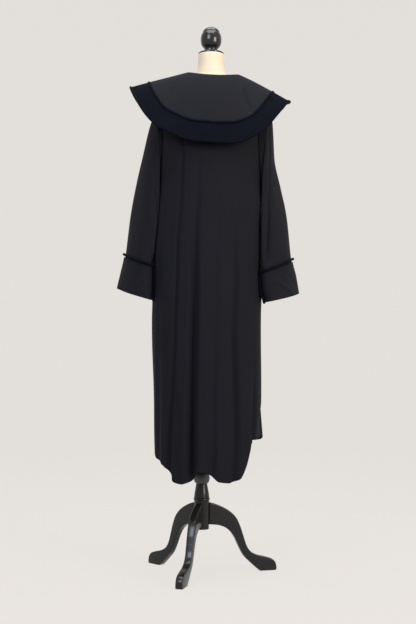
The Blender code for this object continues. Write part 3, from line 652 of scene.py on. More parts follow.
def add_panel(node_name, name, start, end, steps, right_front=False):
    """One panel of the body. The right front stands off to lie over the left at the middle, and
    below the vent its side edge goes round under the back."""
    angle, level = panel_grid(start, end, steps)
    lift = 0.0
    if right_front:
        under = VENT_UNDERLAP * ease((level - VENT_LEVEL) / VENT_EASE)
        angle = angle - under * np.clip((VENT_START - angle) / VENT_SPAN, 0, 1)
        tuck = VENT_ROOM * ease((level - VENT_LEVEL + VENT_TUCK) / VENT_TUCK)
        tuck = tuck * ease((TUCK_START - angle) / TUCK_SPAN)
        lift = (CLOTH + LAP) * np.clip((angle - LAP_START) / LAP_SPAN, 0, 1) - tuck
    surface = robe_surface(angle, level, own_hem=right_front)
    made, cuts[name] = cloth(name, surface, CLOTH, wool, lift=lift)
    stands_for(made, node_name, "black_wool")


add_panel("robe_back", "back_panel", -SIDE, SIDE, 200)
add_panel("robe_front_left", "front_panel_left", -(180 + FRONT_LAP), -(180 - SIDE), 100)
add_panel("robe_front_right", "front_panel_right", 180 - SIDE, 180 + FRONT_LAP, 100, right_front=True)

# %% [markdown]
# ## Sleeves
# A sleeve is a fan of rings from the armhole to the mouth. Each ring is an oval; `lean` draws its
# back towards the body and pushes its front away, as a sleeve hangs from a shoulder, and `hook`
# bends its back edge in round the side of the body. The first row is the armhole's own edge and
# lies over it a little, so the sleeve head is sewn all round and nothing shows through the seam.

# %% Sleeve tables
Ring = namedtuple("Ring", "out_reach out_z in_reach in_z half_depth lean drop hook")
SLEEVES = {
    "left": (
        Ring(0.1723, 1.474, 0.1600, 1.120, 0.058, 0.0060, 0.000, 0.0125),
        Ring(0.1905, 1.420, 0.1584, 1.086, 0.067, 0.0156, 0.000, 0.0120),
        Ring(0.2110, 1.320, 0.1626, 1.048, 0.075, 0.0213, 0.002, 0.0140),
        Ring(0.2298, 1.220, 0.1658, 1.013, 0.079, 0.0250, 0.004, 0.0120),
        Ring(0.2460, 1.121, 0.1672, 0.983, 0.079, 0.0277, 0.006, 0.0104),
        Ring(0.2625, 0.987, 0.1700, 0.958, 0.077, 0.0289, 0.008, 0.0014),
        Ring(0.2735, 0.938, 0.1706, 0.907, 0.076, 0.0318, 0.008, 0.0002),
        Ring(0.2848, 0.888, 0.1724, 0.856, 0.075, 0.0326, 0.008, 0.0020),
    ),
    "right": (
        Ring(0.1925, 1.471, 0.1726, 1.115, 0.058, 0.0042, 0.000, 0.0060),
        Ring(0.2058, 1.418, 0.1682, 1.081, 0.067, 0.0143, 0.000, 0.0060),
        Ring(0.2117, 1.318, 0.1654, 1.042, 0.075, 0.0191, 0.002, 0.0055),
        Ring(0.2301, 1.219, 0.1636, 1.007, 0.079, 0.0248, 0.004, 0.0055),
        Ring(0.2495, 1.119, 0.1624, 0.977, 0.079, 0.0296, 0.006, 0.0072),
        Ring(0.2650, 0.972, 0.1628, 0.936, 0.077, 0.0326, 0.008, 0.0030),
        Ring(0.2760, 0.925, 0.1648, 0.892, 0.076, 0.0326, 0.008, 0.0016),
        Ring(0.2832, 0.872, 0.1712, 0.848, 0.075, 0.0226, 0.008, 0.0024),
    ),
}
CUFF_TOP_RING = 6       # the cuff reaches from this ring down to the mouth
HOOK_POWER = 7          # the power of the sine that keeps the hook to the back edge
RING_METRES, DEGREE_METRES = 0.09, 0.0012   # about how far apart rings and degrees lie, for ripples
MOUTH_RING = len(SLEEVES["left"])
ARMHOLE_LAP = 1.0       # the sleeve's head lies this many degrees over the armhole's edge
print(MOUTH_RING, "rings from the armhole to the mouth")

# %% [markdown]
# ## Creases of the sleeves
# An empty sleeve breaks at the elbow: a short crease comes round from the back, and a long one
# runs down from it. The rest are slow dips that keep the tube from looking like a pipe.

# %% Creases of the sleeves (ring, degrees round it, half width in degrees, depth in metres)
SLEEVE_CREASES = {
    "left": [
        crease((2.9, 55, 9, 0), (3.12, 68, 9, 0.0040), (3.34, 86, 10, 0.0050),
               (3.60, 118, 11, 0.0030), (3.9, 148, 11, 0)),
        crease((1.0, 122, 20, 0), (2.6, 126, 22, 0.0040), (4.2, 124, 20, 0.0045), (5.7, 120, 20, 0)),
        crease((0.6, 58, 18, 0), (2.0, 60, 20, 0.0025), (3.2, 72, 20, 0.0025), (4.4, 84, 20, 0)),
        crease((0.9, -112, 12, 0), (2.8, -106, 13, 0.0050), (4.2, -96, 13, 0.0060), (5.7, -92, 14, 0)),
        crease((2.0, -50, 10, 0), (3.4, -46, 10, 0.0045), (4.6, -52, 11, 0.0035), (5.6, -60, 11, 0)),
    ],
    "right": [
        crease((2.5, 50, 6, 0), (2.98, 64, 7, 0.0080), (3.16, 86, 8, 0.0110),
               (3.42, 107, 9, 0.0080), (3.7, 140, 9, 0)),
        crease((1.4, 32, 7, 0), (2.68, 21, 7, 0.0080), (3.28, 34, 8, 0.0150), (3.78, 45, 10, 0.0190),
               (4.26, 53, 12, 0.0200), (4.74, 60, 13, 0.0185), (5.38, 70, 14, 0.0120), (5.84, 80, 14, 0)),
        crease((1.0, 140, 20, 0), (2.4, 136, 20, 0.0035), (4.4, 130, 18, 0.0045), (5.7, 126, 16, 0)),
        crease((1.2, -62, 12, 0), (2.6, -66, 13, 0.0050), (3.8, -56, 12, 0.0065), (5.4, -60, 12, 0)),
        crease((2.2, -118, 10, 0), (3.6, -112, 11, 0.0045), (4.8, -104, 12, 0.0040), (5.8, -98, 12, 0)),
    ],
}


def sleeve_surface(side):
    """A sleeve as a surface of turn round the ring and ring number: the oval's own cosine and
    sine, leant, its back edge hooked in by a high power of the sine, pressed in along the oval's
    normal by the creases, and mixed with the armhole's edge before ring 1."""
    sign, rings = (-1.0 if side == "left" else 1.0), SLEEVES[side]
    numbers = np.arange(1, len(rings) + 1)
    at = {name: through(numbers, [getattr(ring, name) for ring in rings]) for name in Ring._fields}

    def surface(turn, number):
        """Points for turns in degrees (0 outside, 90 the back edge) and ring numbers."""
        turn, number = np.broadcast_arrays(np.asarray(turn, float), np.asarray(number, float))
        cos, sin = np.cos(np.radians(turn)), np.sin(np.radians(turn))
        row = np.clip(number, 1, None)
        lean, half_depth = at["lean"](row), at["half_depth"](row)
        half_reach = (at["out_reach"](row) - at["in_reach"](row)) / 2
        half_width = np.sqrt(half_reach**2 - lean**2)
        hook = at["hook"](row) * np.clip(sin, 0, 1) ** HOOK_POWER
        across = (half_width * cos - lean * sin) / half_reach
        across = between(cos, across, np.clip((row - 1) / (CUFF_TOP_RING - 1), 0, 1))
        out = np.stack([cos / half_width, sin / half_depth])
        out = out / np.hypot(*out)
        around = (turn + 180) % 360 - 180
        press = pressed_in(SLEEVE_CREASES[side], around, number)
        wave = RIPPLE * ripple(DEGREE_METRES * around, RING_METRES * number)
        press = press - wave * np.clip(number, 0, 1)
        reach = at["in_reach"](row) + half_reach + half_width * cos - lean * sin - hook
        ring = np.stack(
            [
                sign * (reach - out[0] * press),
                MIDDLE_Y - half_depth * sin + out[1] * press,
                between(at["in_z"](row), at["out_z"](row), (1 + across) / 2) - at["drop"](row) * sin,
            ],
            axis=-1,
        )
        level = armhole_level(turn)
        edge_angle = sign * (90 - (armhole_cut(level) + ARMHOLE_LAP) * np.sign(sin))
        edge = robe_surface(edge_angle, level) + np.array([sign * (CLOTH + SEAM / 2), 0, 0])
        mix = np.clip(number, 0, 1)[..., None]
        return edge * (1 - mix) + ring * mix

    return surface


# %% [markdown]
# ## Cutting the sleeves
# The grid goes all round, so a sleeve is a tube with two open ends, and only its ends have rims.
# A few rows between the armhole and ring 1 blend one outline into the other.

# %% Sleeves
SLEEVE_COLUMNS, SLEEVE_ROWS, HEAD_ROWS = 120, 141, 13
sleeve_surfaces = {side: sleeve_surface(side) for side in SLEEVES}


def add_sleeve(side):
    """One sleeve from armhole to mouth, all round."""
    turn = np.arange(SLEEVE_COLUMNS) * 360 / SLEEVE_COLUMNS + 180 / SLEEVE_COLUMNS
    head = np.linspace(0, 1, HEAD_ROWS + 1)[:-1]
    number = np.concatenate([head, np.linspace(1, MOUTH_RING, SLEEVE_ROWS)])
    name = "sleeve_cloth_" + side
    points = sleeve_surfaces[side](turn[None, :], number[:, None])
    made, cuts[name] = cloth(name, points, CLOTH, wool, closed=True)
    stands_for(made, "sleeve_" + side, "black_wool")


for side in SLEEVES:
    add_sleeve(side)

# %% [markdown]
# ## Rolls
# The border and the cuffs are edged with a padded roll: velvet wrapped round a cord of wadding.
# A roll is a circle carried along a path. The circle's two directions are the surface's normal
# and its cross product with the path's own direction, and half circles close the two ends. The
# wadding is never quite even, so the radius swells and shrinks a little.

# %% Rolls
ROLL_SIDES = 20
ROLL_WAVES = ((0.035, 0.011, 0.0), (0.025, 0.0047, 1.3))    # share of the radius, length, start
END_RINGS = np.radians([6, 22, 45, 68])     # where the rings of a rounded end stand, from its tip


def roll(node_name, name, path, normal, radius, finish):
    """A tube round a path with rounded ends: the radius times cosine along the normal, and times
    sine along the binormal, at every point of the path."""
    tangent = np.gradient(path, axis=0)
    tangent = tangent / np.linalg.norm(tangent, axis=1, keepdims=True)
    far = np.linalg.norm(np.diff(path, axis=0), axis=1).cumsum()
    uneven = 1 + sum(share * np.sin(far / length + start) for share, length, start in ROLL_WAVES)
    size = radius * np.concatenate([[1.0], uneven])
    cap = END_RINGS
    path = np.concatenate([
        path[0] - tangent[0] * (size[0] * np.cos(cap))[:, None], path,
        path[-1] + tangent[-1] * (size[-1] * np.cos(cap[::-1]))[:, None],
    ])
    size = np.concatenate([size[0] * np.sin(cap), size, size[-1] * np.sin(cap[::-1])])
    ends = [len(cap), len(cap)]
    tangent = np.pad(tangent, (ends, (0, 0)), mode="edge")
    normal = np.pad(normal, (ends, (0, 0)), mode="edge")
    binormal = np.cross(tangent, normal)
    binormal = binormal / np.linalg.norm(binormal, axis=1, keepdims=True)
    normal = np.cross(binormal, tangent)
    angle = turns(ROLL_SIDES)[..., None]
    circle = np.cos(angle) * normal[:, None] + np.sin(angle) * binormal[:, None]
    made = skin(name, path[:, None] + size[:, None, None] * circle, finish)
    stands_for(made, node_name, "black_velvet")


def skin(name, rings, finish, outwards=True):
    """A closed skin over rings of points, each end closed by triangles to the middle of its ring."""
    if faces_out(rings, grid_normals(rings, True)) != outwards:
        rings = rings[:, ::-1]
    count, around = rings.shape[:2]
    ids = np.arange(count * around).reshape(count, around)
    wrap = [*range(around), 0]
    first, last = ids[0, wrap], ids[-1, wrap]
    top = np.stack([first[:-1], first[1:], np.full(around, count * around)], axis=1)
    low = np.stack([last[1:], last[:-1], np.full(around, count * around + 1)], axis=1)
    points = np.concatenate([rings.reshape(-1, 3), [rings[0].mean(axis=0), rings[-1].mean(axis=0)]])
    faces = [*quads(ids[:, wrap]).tolist(), *top.tolist(), *low.tolist()]
    print(f"{name}: {2 * count * around} triangles")
    return add_mesh(name, points, faces, finish)


def raised(surface, first, second, height, sign=1.0):
    """Points of a surface raised along its normal, and the normals, from small steps on it."""
    small = 1e-3    # of a degree, a ring or a width
    along = surface(first + small, second) - surface(first - small, second)
    down = surface(first, second + small) - surface(first, second - small)
    normal = sign * np.cross(down, along)
    normal = normal / np.linalg.norm(normal, axis=-1, keepdims=True)
    return surface(first, second) + normal * height, normal


# %% [markdown]
# ## Cuffs
# The cuffs are cut in one with the sleeve's end and turned back over it, so each is a second
# layer on the sleeve's own surface, from ring 6 to the mouth. It doesn't meet itself: its rear
# edge is free, and the roll runs along the top, round a small corner and down that edge.

# %% Cuffs
FREE_EDGE, HIDDEN_END = 120.0, 200.0    # a cuff's rear edge and its other end, in degrees round it
ROLL_TURN = 7.5         # the roll runs this far past the rear edge
CUFF_COLUMNS, CUFF_ROWS = 120, 46
TOP_POINTS, CORNER_STEPS, REAR_POINTS = 149, 14, 50     # of the roll's path
ROLL_STAND = 0.0060     # height of a cuff roll's middle above the sleeve
CORNER_RINGS = 0.16     # the corner's radius along the sleeve, in rings
CUFF_ROLL_ROOM = 0.10   # the roll stands this far above the cuff's top edge, in rings
CUFF_CREASES = {
    "left": [
        crease((6.3, 96, 14, 0), (6.8, 80, 16, -0.0016), (7.4, 60, 16, -0.0018), (8.0, 48, 14, -0.0008)),
        crease((6.0, 20, 16, 0.0004), (7.0, 30, 18, 0.0009), (8.0, 12, 16, 0.0006)),
    ],
    "right": [
        crease((6.5, 66, 12, 0), (7.0, 54, 14, -0.0022), (7.45, 41, 14, -0.0028), (8.0, 27, 14, -0.0016)),
        crease((6.1, 44, 14, 0), (6.6, 28, 15, 0.0008), (7.2, 12, 15, 0.0010), (8.0, 2, 14, 0.0005)),
    ],
}


def add_cuff(side):
    """A turned-back cuff on its sleeve, and the roll along its top and free edge."""
    sign, surface = (1.0 if side == "left" else -1.0), sleeve_surfaces[side]
    start = HIDDEN_END - 360
    turn = np.linspace(start, FREE_EDGE, CUFF_COLUMNS)[None, :]
    number = np.linspace(CUFF_TOP_RING, MOUTH_RING, CUFF_ROWS)[:, None]
    lift = VELVET + LAP - pressed_in(CUFF_CREASES[side], turn, number)
    name = "cuff_cloth_" + side
    made, cuts[name] = cloth(name, surface(turn, number), VELVET, wool, lift=lift)
    stands_for(made, "cuff_" + side, "black_wool")

    top = CUFF_TOP_RING - CUFF_ROLL_ROOM
    corner = np.linspace(0, np.pi / 2, CORNER_STEPS)
    rear = FREE_EDGE + ROLL_TURN
    path_turn = np.concatenate([
        np.linspace(start, FREE_EDGE, TOP_POINTS + 1)[:-1],
        rear - ROLL_TURN * (1 - np.sin(corner)),
        np.full(REAR_POINTS, rear),
    ])
    path_number = np.concatenate([
        np.full(TOP_POINTS, top),
        top + CORNER_RINGS * (1 - np.cos(corner)),
        np.linspace(top + CORNER_RINGS, MOUTH_RING, REAR_POINTS + 1)[1:],
    ])
    path, normal = raised(surface, path_turn, path_number, ROLL_STAND, sign)
    roll("cuff_roll_" + side, "cuff_velvet_roll_" + side, path, normal, ROLL, velvet)


for side in SLEEVES:
    add_cuff(side)

# %% [markdown]
# ## The cape collar
# A wide collar in three parts: wool next to the neck, a velvet border, and a roll on each side of
# the border. Its surface runs from the neckline (`width` 0) to an outer edge given by a table of
# directions (`width` 1). In between it bows up over the shoulders and the back, and it is left
# open at the front.

# %% Collar surface
Edge = namedtuple("Edge", "angle reach height_left height_right")
COLLAR = (
    Edge(0, 0.166, 1.312, 1.312), Edge(24, 0.175, 1.324, 1.314), Edge(40, 0.190, 1.349, 1.333),
    Edge(52, 0.205, 1.373, 1.361), Edge(62, 0.219, 1.409, 1.400), Edge(72, 0.234, 1.457, 1.439),
    Edge(82, 0.244, 1.497, 1.467), Edge(90, 0.2485, 1.518, 1.473), Edge(104, 0.236, 1.500, 1.478),
    Edge(118, 0.222, 1.466, 1.453), Edge(135, 0.198, 1.424, 1.410), Edge(155, 0.177, 1.374, 1.366),
    Edge(180, 0.168, 1.345, 1.345),
)
COLLAR_END = 172.0      # the collar stops this far round, leaving the front open
COLLAR_MIDDLE_X = 0.0070    # the middle of its outer edge
COLLAR_RISE = 0.0035    # the collar's neckline stands this far above the robe's
CROWN_SIDE, CROWN_BACK = 0.001, 0.018   # how far the collar bows up over shoulders and back
CROWN_POWER = 0.75      # below 1, the bow is highest nearer the neck than the outer edge
CROWN_LEAN = (0.35, 0.6)    # it rises up, and by these shares of that to the side and to the back
COLLAR_RIPPLE = 0.0006
COLLAR_METRES = (0.0022, 0.16)  # about how far apart degrees and widths lie, for ripples
Band = namedtuple("Band", "angle start")   # share of the collar's width where the velvet begins
BAND = (
    Band(0, 0.765), Band(30, 0.757), Band(52, 0.735), Band(70, 0.700),
    Band(85, 0.680), Band(110, 0.700), Band(180, 0.720),
)
collar_at = columns(COLLAR)
band_at = columns(BAND)["start"]
COLLAR_SOFTEN = 11.0    # the collar's outline is averaged over this many degrees to either side
# width, degrees round the body, half width in degrees, depth in metres
COLLAR_CREASES = [
    crease((0.14, -66, 3.0, 0), (0.30, -61, 3.0, 0.0022), (0.45, -57, 3.5, 0.0030),
           (0.62, -55.5, 3.5, 0.0020), (0.76, -55, 3.5, 0)),
    crease((0.22, 60, 3.5, 0), (0.30, 55, 4.0, 0.0012), (0.40, 50, 5.0, 0.0058), (0.55, 47.5, 5.0, 0.0060),
           (0.66, 47, 5.0, 0.0030), (0.80, 47, 5.0, 0)),
    crease((0.10, 44, 4.0, 0), (0.35, 38, 4.5, -0.0020), (0.55, 35, 5.0, -0.0015), (0.70, 34, 5.0, 0)),
    crease((0.55, 68, 4.0, 0), (0.82, 69, 4.0, 0.0025), (1.00, 71, 4.5, 0.0015)),
    crease((0.15, 118, 4.0, 0), (0.40, 122, 4.5, 0.0040), (0.70, 126, 5.0, 0.0030), (1.00, 127, 6.0, 0.0010)),
    crease((0.20, -124, 4.0, 0), (0.50, -128, 4.5, 0.0035), (0.80, -131, 5.0, 0.0020), (1.00, -132, 5.0, 0)),
    crease((0.10, 152, 4.0, 0), (0.40, 153, 4.5, 0.0025), (0.75, 155, 5.0, 0.0015), (1.00, 156, 5.0, 0)),
]


def softened(curve, angle):
    """The curve averaged over a short stretch to either side, so that it has no corners; the
    stretch shrinks to nothing at the collar's two points, which stay sharp."""
    reach = COLLAR_SOFTEN * np.abs(np.cos(np.radians(angle)))
    weights = np.array([1, 2, 3, 4, 3, 2, 1]) / 16
    return sum(w * curve(np.abs(angle + reach * o)) for w, o in zip(weights, np.linspace(-1, 1, 7)))


def collar_surface(angle, width):
    """The straight way from the neckline to the outer edge, bowed up by a crown that is a sine of
    the width, and pressed in by the creases along the same direction."""
    angle, width = np.broadcast_arrays(np.asarray(angle, float), np.asarray(width, float))
    sin, cos = np.sin(np.radians(angle)), np.cos(np.radians(angle))
    away = np.abs(angle)
    left, right = softened(collar_at["height_left"], away), softened(collar_at["height_right"], away)
    height = np.where(angle < 0, left, right)
    reach = softened(collar_at["reach"], away)
    outer = np.stack([COLLAR_MIDDLE_X + reach * sin, MIDDLE_Y - reach * cos, height], axis=-1)
    neck = robe_surface(angle, 0.0)
    neck[..., 2] += COLLAR_RISE + (CLOTH + LAP) * np.clip(-2 * cos, 0, 1)
    bow = np.sin(np.pi * np.clip(width, 0, 1) ** CROWN_POWER)
    crown = between(CROWN_SIDE, CROWN_BACK, np.abs(cos)) * bow
    crown = crown - pressed_in(COLLAR_CREASES, angle, width)
    wave = COLLAR_RIPPLE * ripple(COLLAR_METRES[0] * angle, COLLAR_METRES[1] * width)
    crown = crown + wave * np.clip(3 * width, 0, 1)
    lift = np.stack([CROWN_LEAN[0] * sin, -CROWN_LEAN[1] * cos, np.ones_like(sin)], axis=-1)
    lift = lift / np.linalg.norm(lift, axis=-1, keepdims=True)
    return neck + (outer - neck) * width[..., None] + lift * crown[..., None]


print("the collar's outer edge at the back:", collar_surface(0.0, 1.0).round(3), "m")


# %% [markdown]
# ## Cutting the collar
# The wool and the velvet are two strips of that surface. A roll covers each join, so the strips
# stop just under it and their edges don't show.

# %% Collar pieces
COLLAR_COLUMNS = 340
TUCK = 0.012            # a strip ends this share of the width from the middle of a roll, under it


def add_collar():
    """The wool, the velvet border and the two rolls. The cloth edges tuck under the rolls."""
    angle = np.linspace(-COLLAR_END, COLLAR_END, COLLAR_COLUMNS)
    start = band_at(np.abs(angle))
    end = np.ones(COLLAR_COLUMNS)
    for name, node_name, first, last, rows, thickness, finish, slot in (
        ("collar_wool", "collar_cloth", 0 * end, start - TUCK, 36, CLOTH, wool, "black_wool"),
        ("collar_velvet", "collar_velvet_band", start + TUCK, end - TUCK, 16, VELVET, velvet, "black_velvet"),
    ):
        width = between(first, last, np.linspace(0, 1, rows)[:, None])
        made, cuts[name] = cloth(name, collar_surface(angle[None, :], width), thickness, finish)
        stands_for(made, node_name, slot)
    for name, node_name, width in (
        ("collar_roll_inner", "collar_inner_roll", start),
        ("collar_roll_outer", "collar_outer_roll", end),
    ):
        path, normal = raised(collar_surface, angle, width, -CLOTH / 2)
        roll(node_name, name, path, normal, ROLL, velvet)


add_collar()

# %% [markdown]
# ## The dress form
# A limbless torso covered in cream jersey. Its sections are ovals whose back and front differ in
# depth, and a smooth curve through them gives as many rows as we like.

# %% Cream jersey
CREAM = (0.515, 0.440, 0.325)


def jersey():
    """Cream cotton jersey: fine upright wales in relief and hardly any change of tone."""
    made = Finish("cream jersey", Sheen_Weight=0.10, Sheen_Roughness=0.5, Specular_IOR_Level=0.25)
    place = made.place("object")
    wales = made.noise(place, 700.0, stretch=(1, 1, 0.25))
    slow = made.noise(place, 18.0)
    made.give("Base Color", made.mix(slow * 0.7 + wales * 0.3, shade(CREAM, 0.96), shade(CREAM, 1.04)))
    made.give("Roughness", 0.62 + wales * 0.12)
    made.bump(wales, 0.0002, 0.25)
    return made.material


cream = jersey()

# %% [markdown]
# ## The torso
# Only the neck shows, but the torso is made whole, because the robe hangs on its shoulders. It is
# one closed skin from the top of the neck to the flat underside.

# %% Torso
Torso = namedtuple("Torso", "height half_width back_depth front_depth")
TORSO = (
    Torso(0.850, 0.138, 0.098, 0.094), Torso(0.920, 0.142, 0.102, 0.098), Torso(1.020, 0.130, 0.092, 0.090),
    Torso(1.110, 0.112, 0.080, 0.084), Torso(1.200, 0.124, 0.088, 0.104), Torso(1.290, 0.136, 0.094, 0.120),
    Torso(1.380, 0.140, 0.090, 0.104), Torso(1.450, 0.141, 0.078, 0.078), Torso(1.490, 0.132, 0.066, 0.062),
    Torso(1.510, 0.110, 0.060, 0.055), Torso(1.524, 0.084, 0.054, 0.050), Torso(1.540, 0.061, 0.048, 0.046),
    Torso(1.560, 0.0455, 0.0430, 0.0430), Torso(1.585, 0.0410, 0.0410, 0.0410),
    Torso(1.6185, 0.0405, 0.0405, 0.0405),
)
SHOULDERS = 1.49        # above this height the rows lie closer together
RIM_HEIGHTS = (0.8550, 0.8525, 0.8508, 0.8500, 0.8500)  # the rounded rim of the underside,
RIM_SHARES = (0.995, 0.985, 0.965, 0.93, 0.60)          # and how far its rows have drawn in


def torso_rings():
    """Oval rings from the neck down to the rounded rim of the underside."""
    upper = np.linspace(TORSO[-1].height, SHOULDERS, 50)
    height = np.concatenate([upper, np.linspace(SHOULDERS, 0.858, 90)[1:], RIM_HEIGHTS])[:, None]
    shrink = np.ones(height.shape)
    shrink[-len(RIM_SHARES):, 0] = RIM_SHARES
    at, turn = columns(TORSO), turns(96)
    depth = np.where(np.cos(turn) > 0, at["back_depth"](height), at["front_depth"](height))
    return ovals(FORM_X, shrink * at["half_width"](height), shrink * depth, height, turn)


stands_for(skin("torso_cover", torso_rings(), cream), "form_torso", "cream_cover")

# %% [markdown]
# ## Turned wood
# The finial, neck disc, ball, cone and hub are turned on a lathe, so each is a short profile
# (radius and height, from the top down) swept round its axis. Points are spaced evenly along the
# profile, and a number repeated in the table leaves a crisp edge there.

# %% Lacquer and satin
LACQUER = (0.0075, 0.0075, 0.0080)
SATIN = ((0.030, 0.030, 0.033, 1), (0.048, 0.048, 0.052, 1))    # its darkest and its lightest


def lacquer(name, coat):
    """Black gloss lacquer on wood: a clear coat, faint brush marks and a little handling haze."""
    made = Finish(name, Coat_Weight=coat, Coat_Roughness=0.06, Specular_IOR_Level=0.2)
    place = made.place("object")
    haze = made.noise(place, 45.0, detail=3.0)
    made.give("Base Color", made.mix(haze, shade(LACQUER, 0.7), shade(LACQUER, 1.4)))
    made.give("Roughness", 0.16 + haze * 0.14)
    made.bump(made.noise(place, 120.0, stretch=(1, 1, 0.5)), 0.0002, 0.25)
    return made.material


def satin():
    """Dark grey satin paint, a little uneven."""
    made = Finish("satin grey", Specular_IOR_Level=0.5)
    haze = made.noise(made.place("object"), 60.0, detail=3.0)
    made.give("Base Color", made.mix(haze, *SATIN))
    made.give("Roughness", 0.42 + haze * 0.15)
    made.bump(haze, 0.0003, 0.2)
    return made.material


gloss, worn, matt = lacquer("polished lacquer", 0.40), lacquer("worn lacquer", 0.18), satin()

# %% [markdown]
# ## Sweeping the profiles
# Blender's Screw modifier would do the same. Worked out here, the rows can be spaced by the length
# of the profile, so a tight curve gets as many as it needs.

# %% Turned pieces
TURNED_SIDES = 96
FINIAL = (
    (0.0060, 1.7045), (0.0135, 1.7028), (0.0205, 1.6985), (0.0252, 1.6930), (0.0262, 1.6905),
    (0.0252, 1.6895), (0.0266, 1.6880), (0.0298, 1.6820), (0.0319, 1.6740), (0.0325, 1.6650),
    (0.0314, 1.6550), (0.0280, 1.6465), (0.0225, 1.6400), (0.0200, 1.6350), (0.0205, 1.6280),
)
NECK_DISC = ((0.0215, 1.6275), (0.0375, 1.6250), (0.0402, 1.6225), (0.0402, 1.6190))
COLUMN_BALL = ((0.0150, 0.3150), (0.0222, 0.3085), (0.0250, 0.2975), (0.0228, 0.2865), (0.0170, 0.2800))
COLUMN_CONE = ((0.0175, 0.2795), (0.0190, 0.2700), (0.0225, 0.2500), (0.0242, 0.2365))
HUB = (
    (0.0245, 0.2360), (0.0258, 0.2325), (0.0245, 0.2290), (0.0236, 0.2250), (0.0236, 0.1530),
    (0.0229, 0.1518), (0.0229, 0.1400), (0.0222, 0.1385),
)


def evenly(outline, rows):
    """Points evenly spaced along a smooth curve through an outline, as two columns."""
    outline = np.array(outline)
    far = np.concatenate([[0], np.linalg.norm(np.diff(outline, axis=0), axis=1).cumsum()])
    at = np.linspace(0, far[-1], rows)
    return np.stack([through(far, outline[:, 0])(at), through(far, outline[:, 1])(at)], axis=-1)


def turned(name, node_name, profile, x, finish, slot, rows=90):
    """A profile swept round an upright axis, with rows evenly spaced along the profile."""
    radius, height = evenly(profile, rows).T[..., None]
    rings = ovals(x, radius, radius, height, turns(TURNED_SIDES))
    stands_for(skin(name, rings, finish), node_name, slot)


turned("finial_knob", "finial", FINIAL, FORM_X, gloss, "black_lacquer", 120)
turned("neck_plate", "neck_disc", NECK_DISC, FORM_X, gloss, "black_lacquer", 40)
turned("swivel_ball", "column_ball", COLUMN_BALL, COLUMN_X, matt, "dark_plastic")
turned("turned_cone", "column_cone", COLUMN_CONE, COLUMN_X, worn, "black_lacquer")
turned("turned_hub", "hub", HUB, COLUMN_X, worn, "black_lacquer", 140)

# %% [markdown]
# ## The pole under the robe
# A plain rod carries the form. The two axes are a little apart, so the rod leans: its middle
# slides from the column's axis to the form's as it rises, and each ring stays level.

# %% Pole
POLE_RADIUS, POLE_SIDES, POLE_ROWS = 0.0125, 48, 30


def add_pole():
    """The hidden pole, leaning from the column's ball up to the form's underside."""
    low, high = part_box("pole")
    share = np.linspace(1, 0, POLE_ROWS)[:, None]
    x, z = between(COLUMN_X, FORM_X, share), between(low.z, high.z, share)
    rings = ovals(x, POLE_RADIUS, POLE_RADIUS, z, turns(POLE_SIDES))
    stands_for(skin("leaning_pole", rings, matt), "pole", "dark_plastic")


add_pole()

# %% [markdown]
# ## Cabriole legs
# Three legs sawn from board to the same S-shaped outline. A leg is a rounded rectangle carried
# from the hub to the toe: at each station it reaches from the upper outline to the lower one, and
# it is as thick as the board. Its last section is the flat sole.

# %% Legs
LEG_TOP = (
    (0.0243, 0.2215), (0.0450, 0.2150), (0.0680, 0.2050), (0.0930, 0.1890), (0.1110, 0.1690),
    (0.1230, 0.1440), (0.1340, 0.1110), (0.1450, 0.0800), (0.1580, 0.0620), (0.1800, 0.0500),
    (0.2100, 0.0420), (0.2290, 0.0350), (0.2400, 0.0220), (0.2430, 0.0050), (0.2400, 0.0),
)
LEG_UNDER = (
    (0.0243, 0.1525), (0.0480, 0.1500), (0.0700, 0.1430), (0.0900, 0.1290), (0.1060, 0.1060),
    (0.1200, 0.0760), (0.1360, 0.0480), (0.1560, 0.0280), (0.1780, 0.0080), (0.1880, 0.0),
)
LEG_BOARD, LEG_EASE = 0.022, 0.003     # the board's thickness and the radius of its eased edges
LEG_TURNS = {"leg_front": -105.7, "leg_right": 14.3, "leg_left": 134.3}   # degrees from +X
INTO_HUB = 0.003        # the legs are let into the hub this far
CORNER_POINTS = 6       # round each eased edge


def leg_rings(azimuth, rows=110):
    """Rounded rectangles between the two outlines, turned round the column to their place."""
    top, under = evenly(LEG_TOP, rows), evenly(LEG_UNDER, rows)
    middle, half = (top + under) / 2, (top - under) / 2
    tall = np.linalg.norm(half, axis=1, keepdims=True)
    along = half / tall
    start = np.radians(np.arange(4) * 90)[:, None]
    arc = start + np.linspace(0, np.pi / 2, CORNER_POINTS)[None, :]
    corner = start + np.pi / 4
    up = (np.sign(np.cos(corner)) * np.ones_like(arc)).ravel(), (LEG_EASE * np.cos(arc)).ravel()
    side = np.sign(np.sin(corner)) * (LEG_BOARD / 2 - LEG_EASE) + LEG_EASE * np.sin(arc)
    rise = up[0][None, :] * (tall - LEG_EASE) + up[1][None, :]
    flat = middle[:, None] + along[:, None] * rise[..., None]
    flat[0, :, 0] -= INTO_HUB
    turn = np.radians(azimuth)
    wide = side.ravel()[None, :]
    x = COLUMN_X + flat[..., 0] * np.cos(turn) - wide * np.sin(turn)
    y = MIDDLE_Y + flat[..., 0] * np.sin(turn) + wide * np.cos(turn)
    return np.stack([x, y, np.clip(flat[..., 1], 0, None)], axis=-1)


for node_name, azimuth in LEG_TURNS.items():
    stands_for(skin("cabriole_" + node_name, leg_rings(azimuth), worn), node_name, "black_lacquer")

# %% [markdown]
# ## The cut of the cloth
# Each piece of cloth keeps in `cuts` the size it was cut to. The cloth hardly stretches, so the cut is what
# the finished piece measures: its longest row, its longest column and its area.

# %% Sheets


print(len(cuts), "sheets declared")

# %% [markdown]
# ## The studio
# A plain pale tent: the floor runs up into the walls and over the top without a corner. It glows
# a little, so it lights the robe softly from all sides and leaves only a faint shadow under the
# feet. A cool soft light stands high on the left of the camera, a warmer one on its right, and a
# large one hangs overhead.

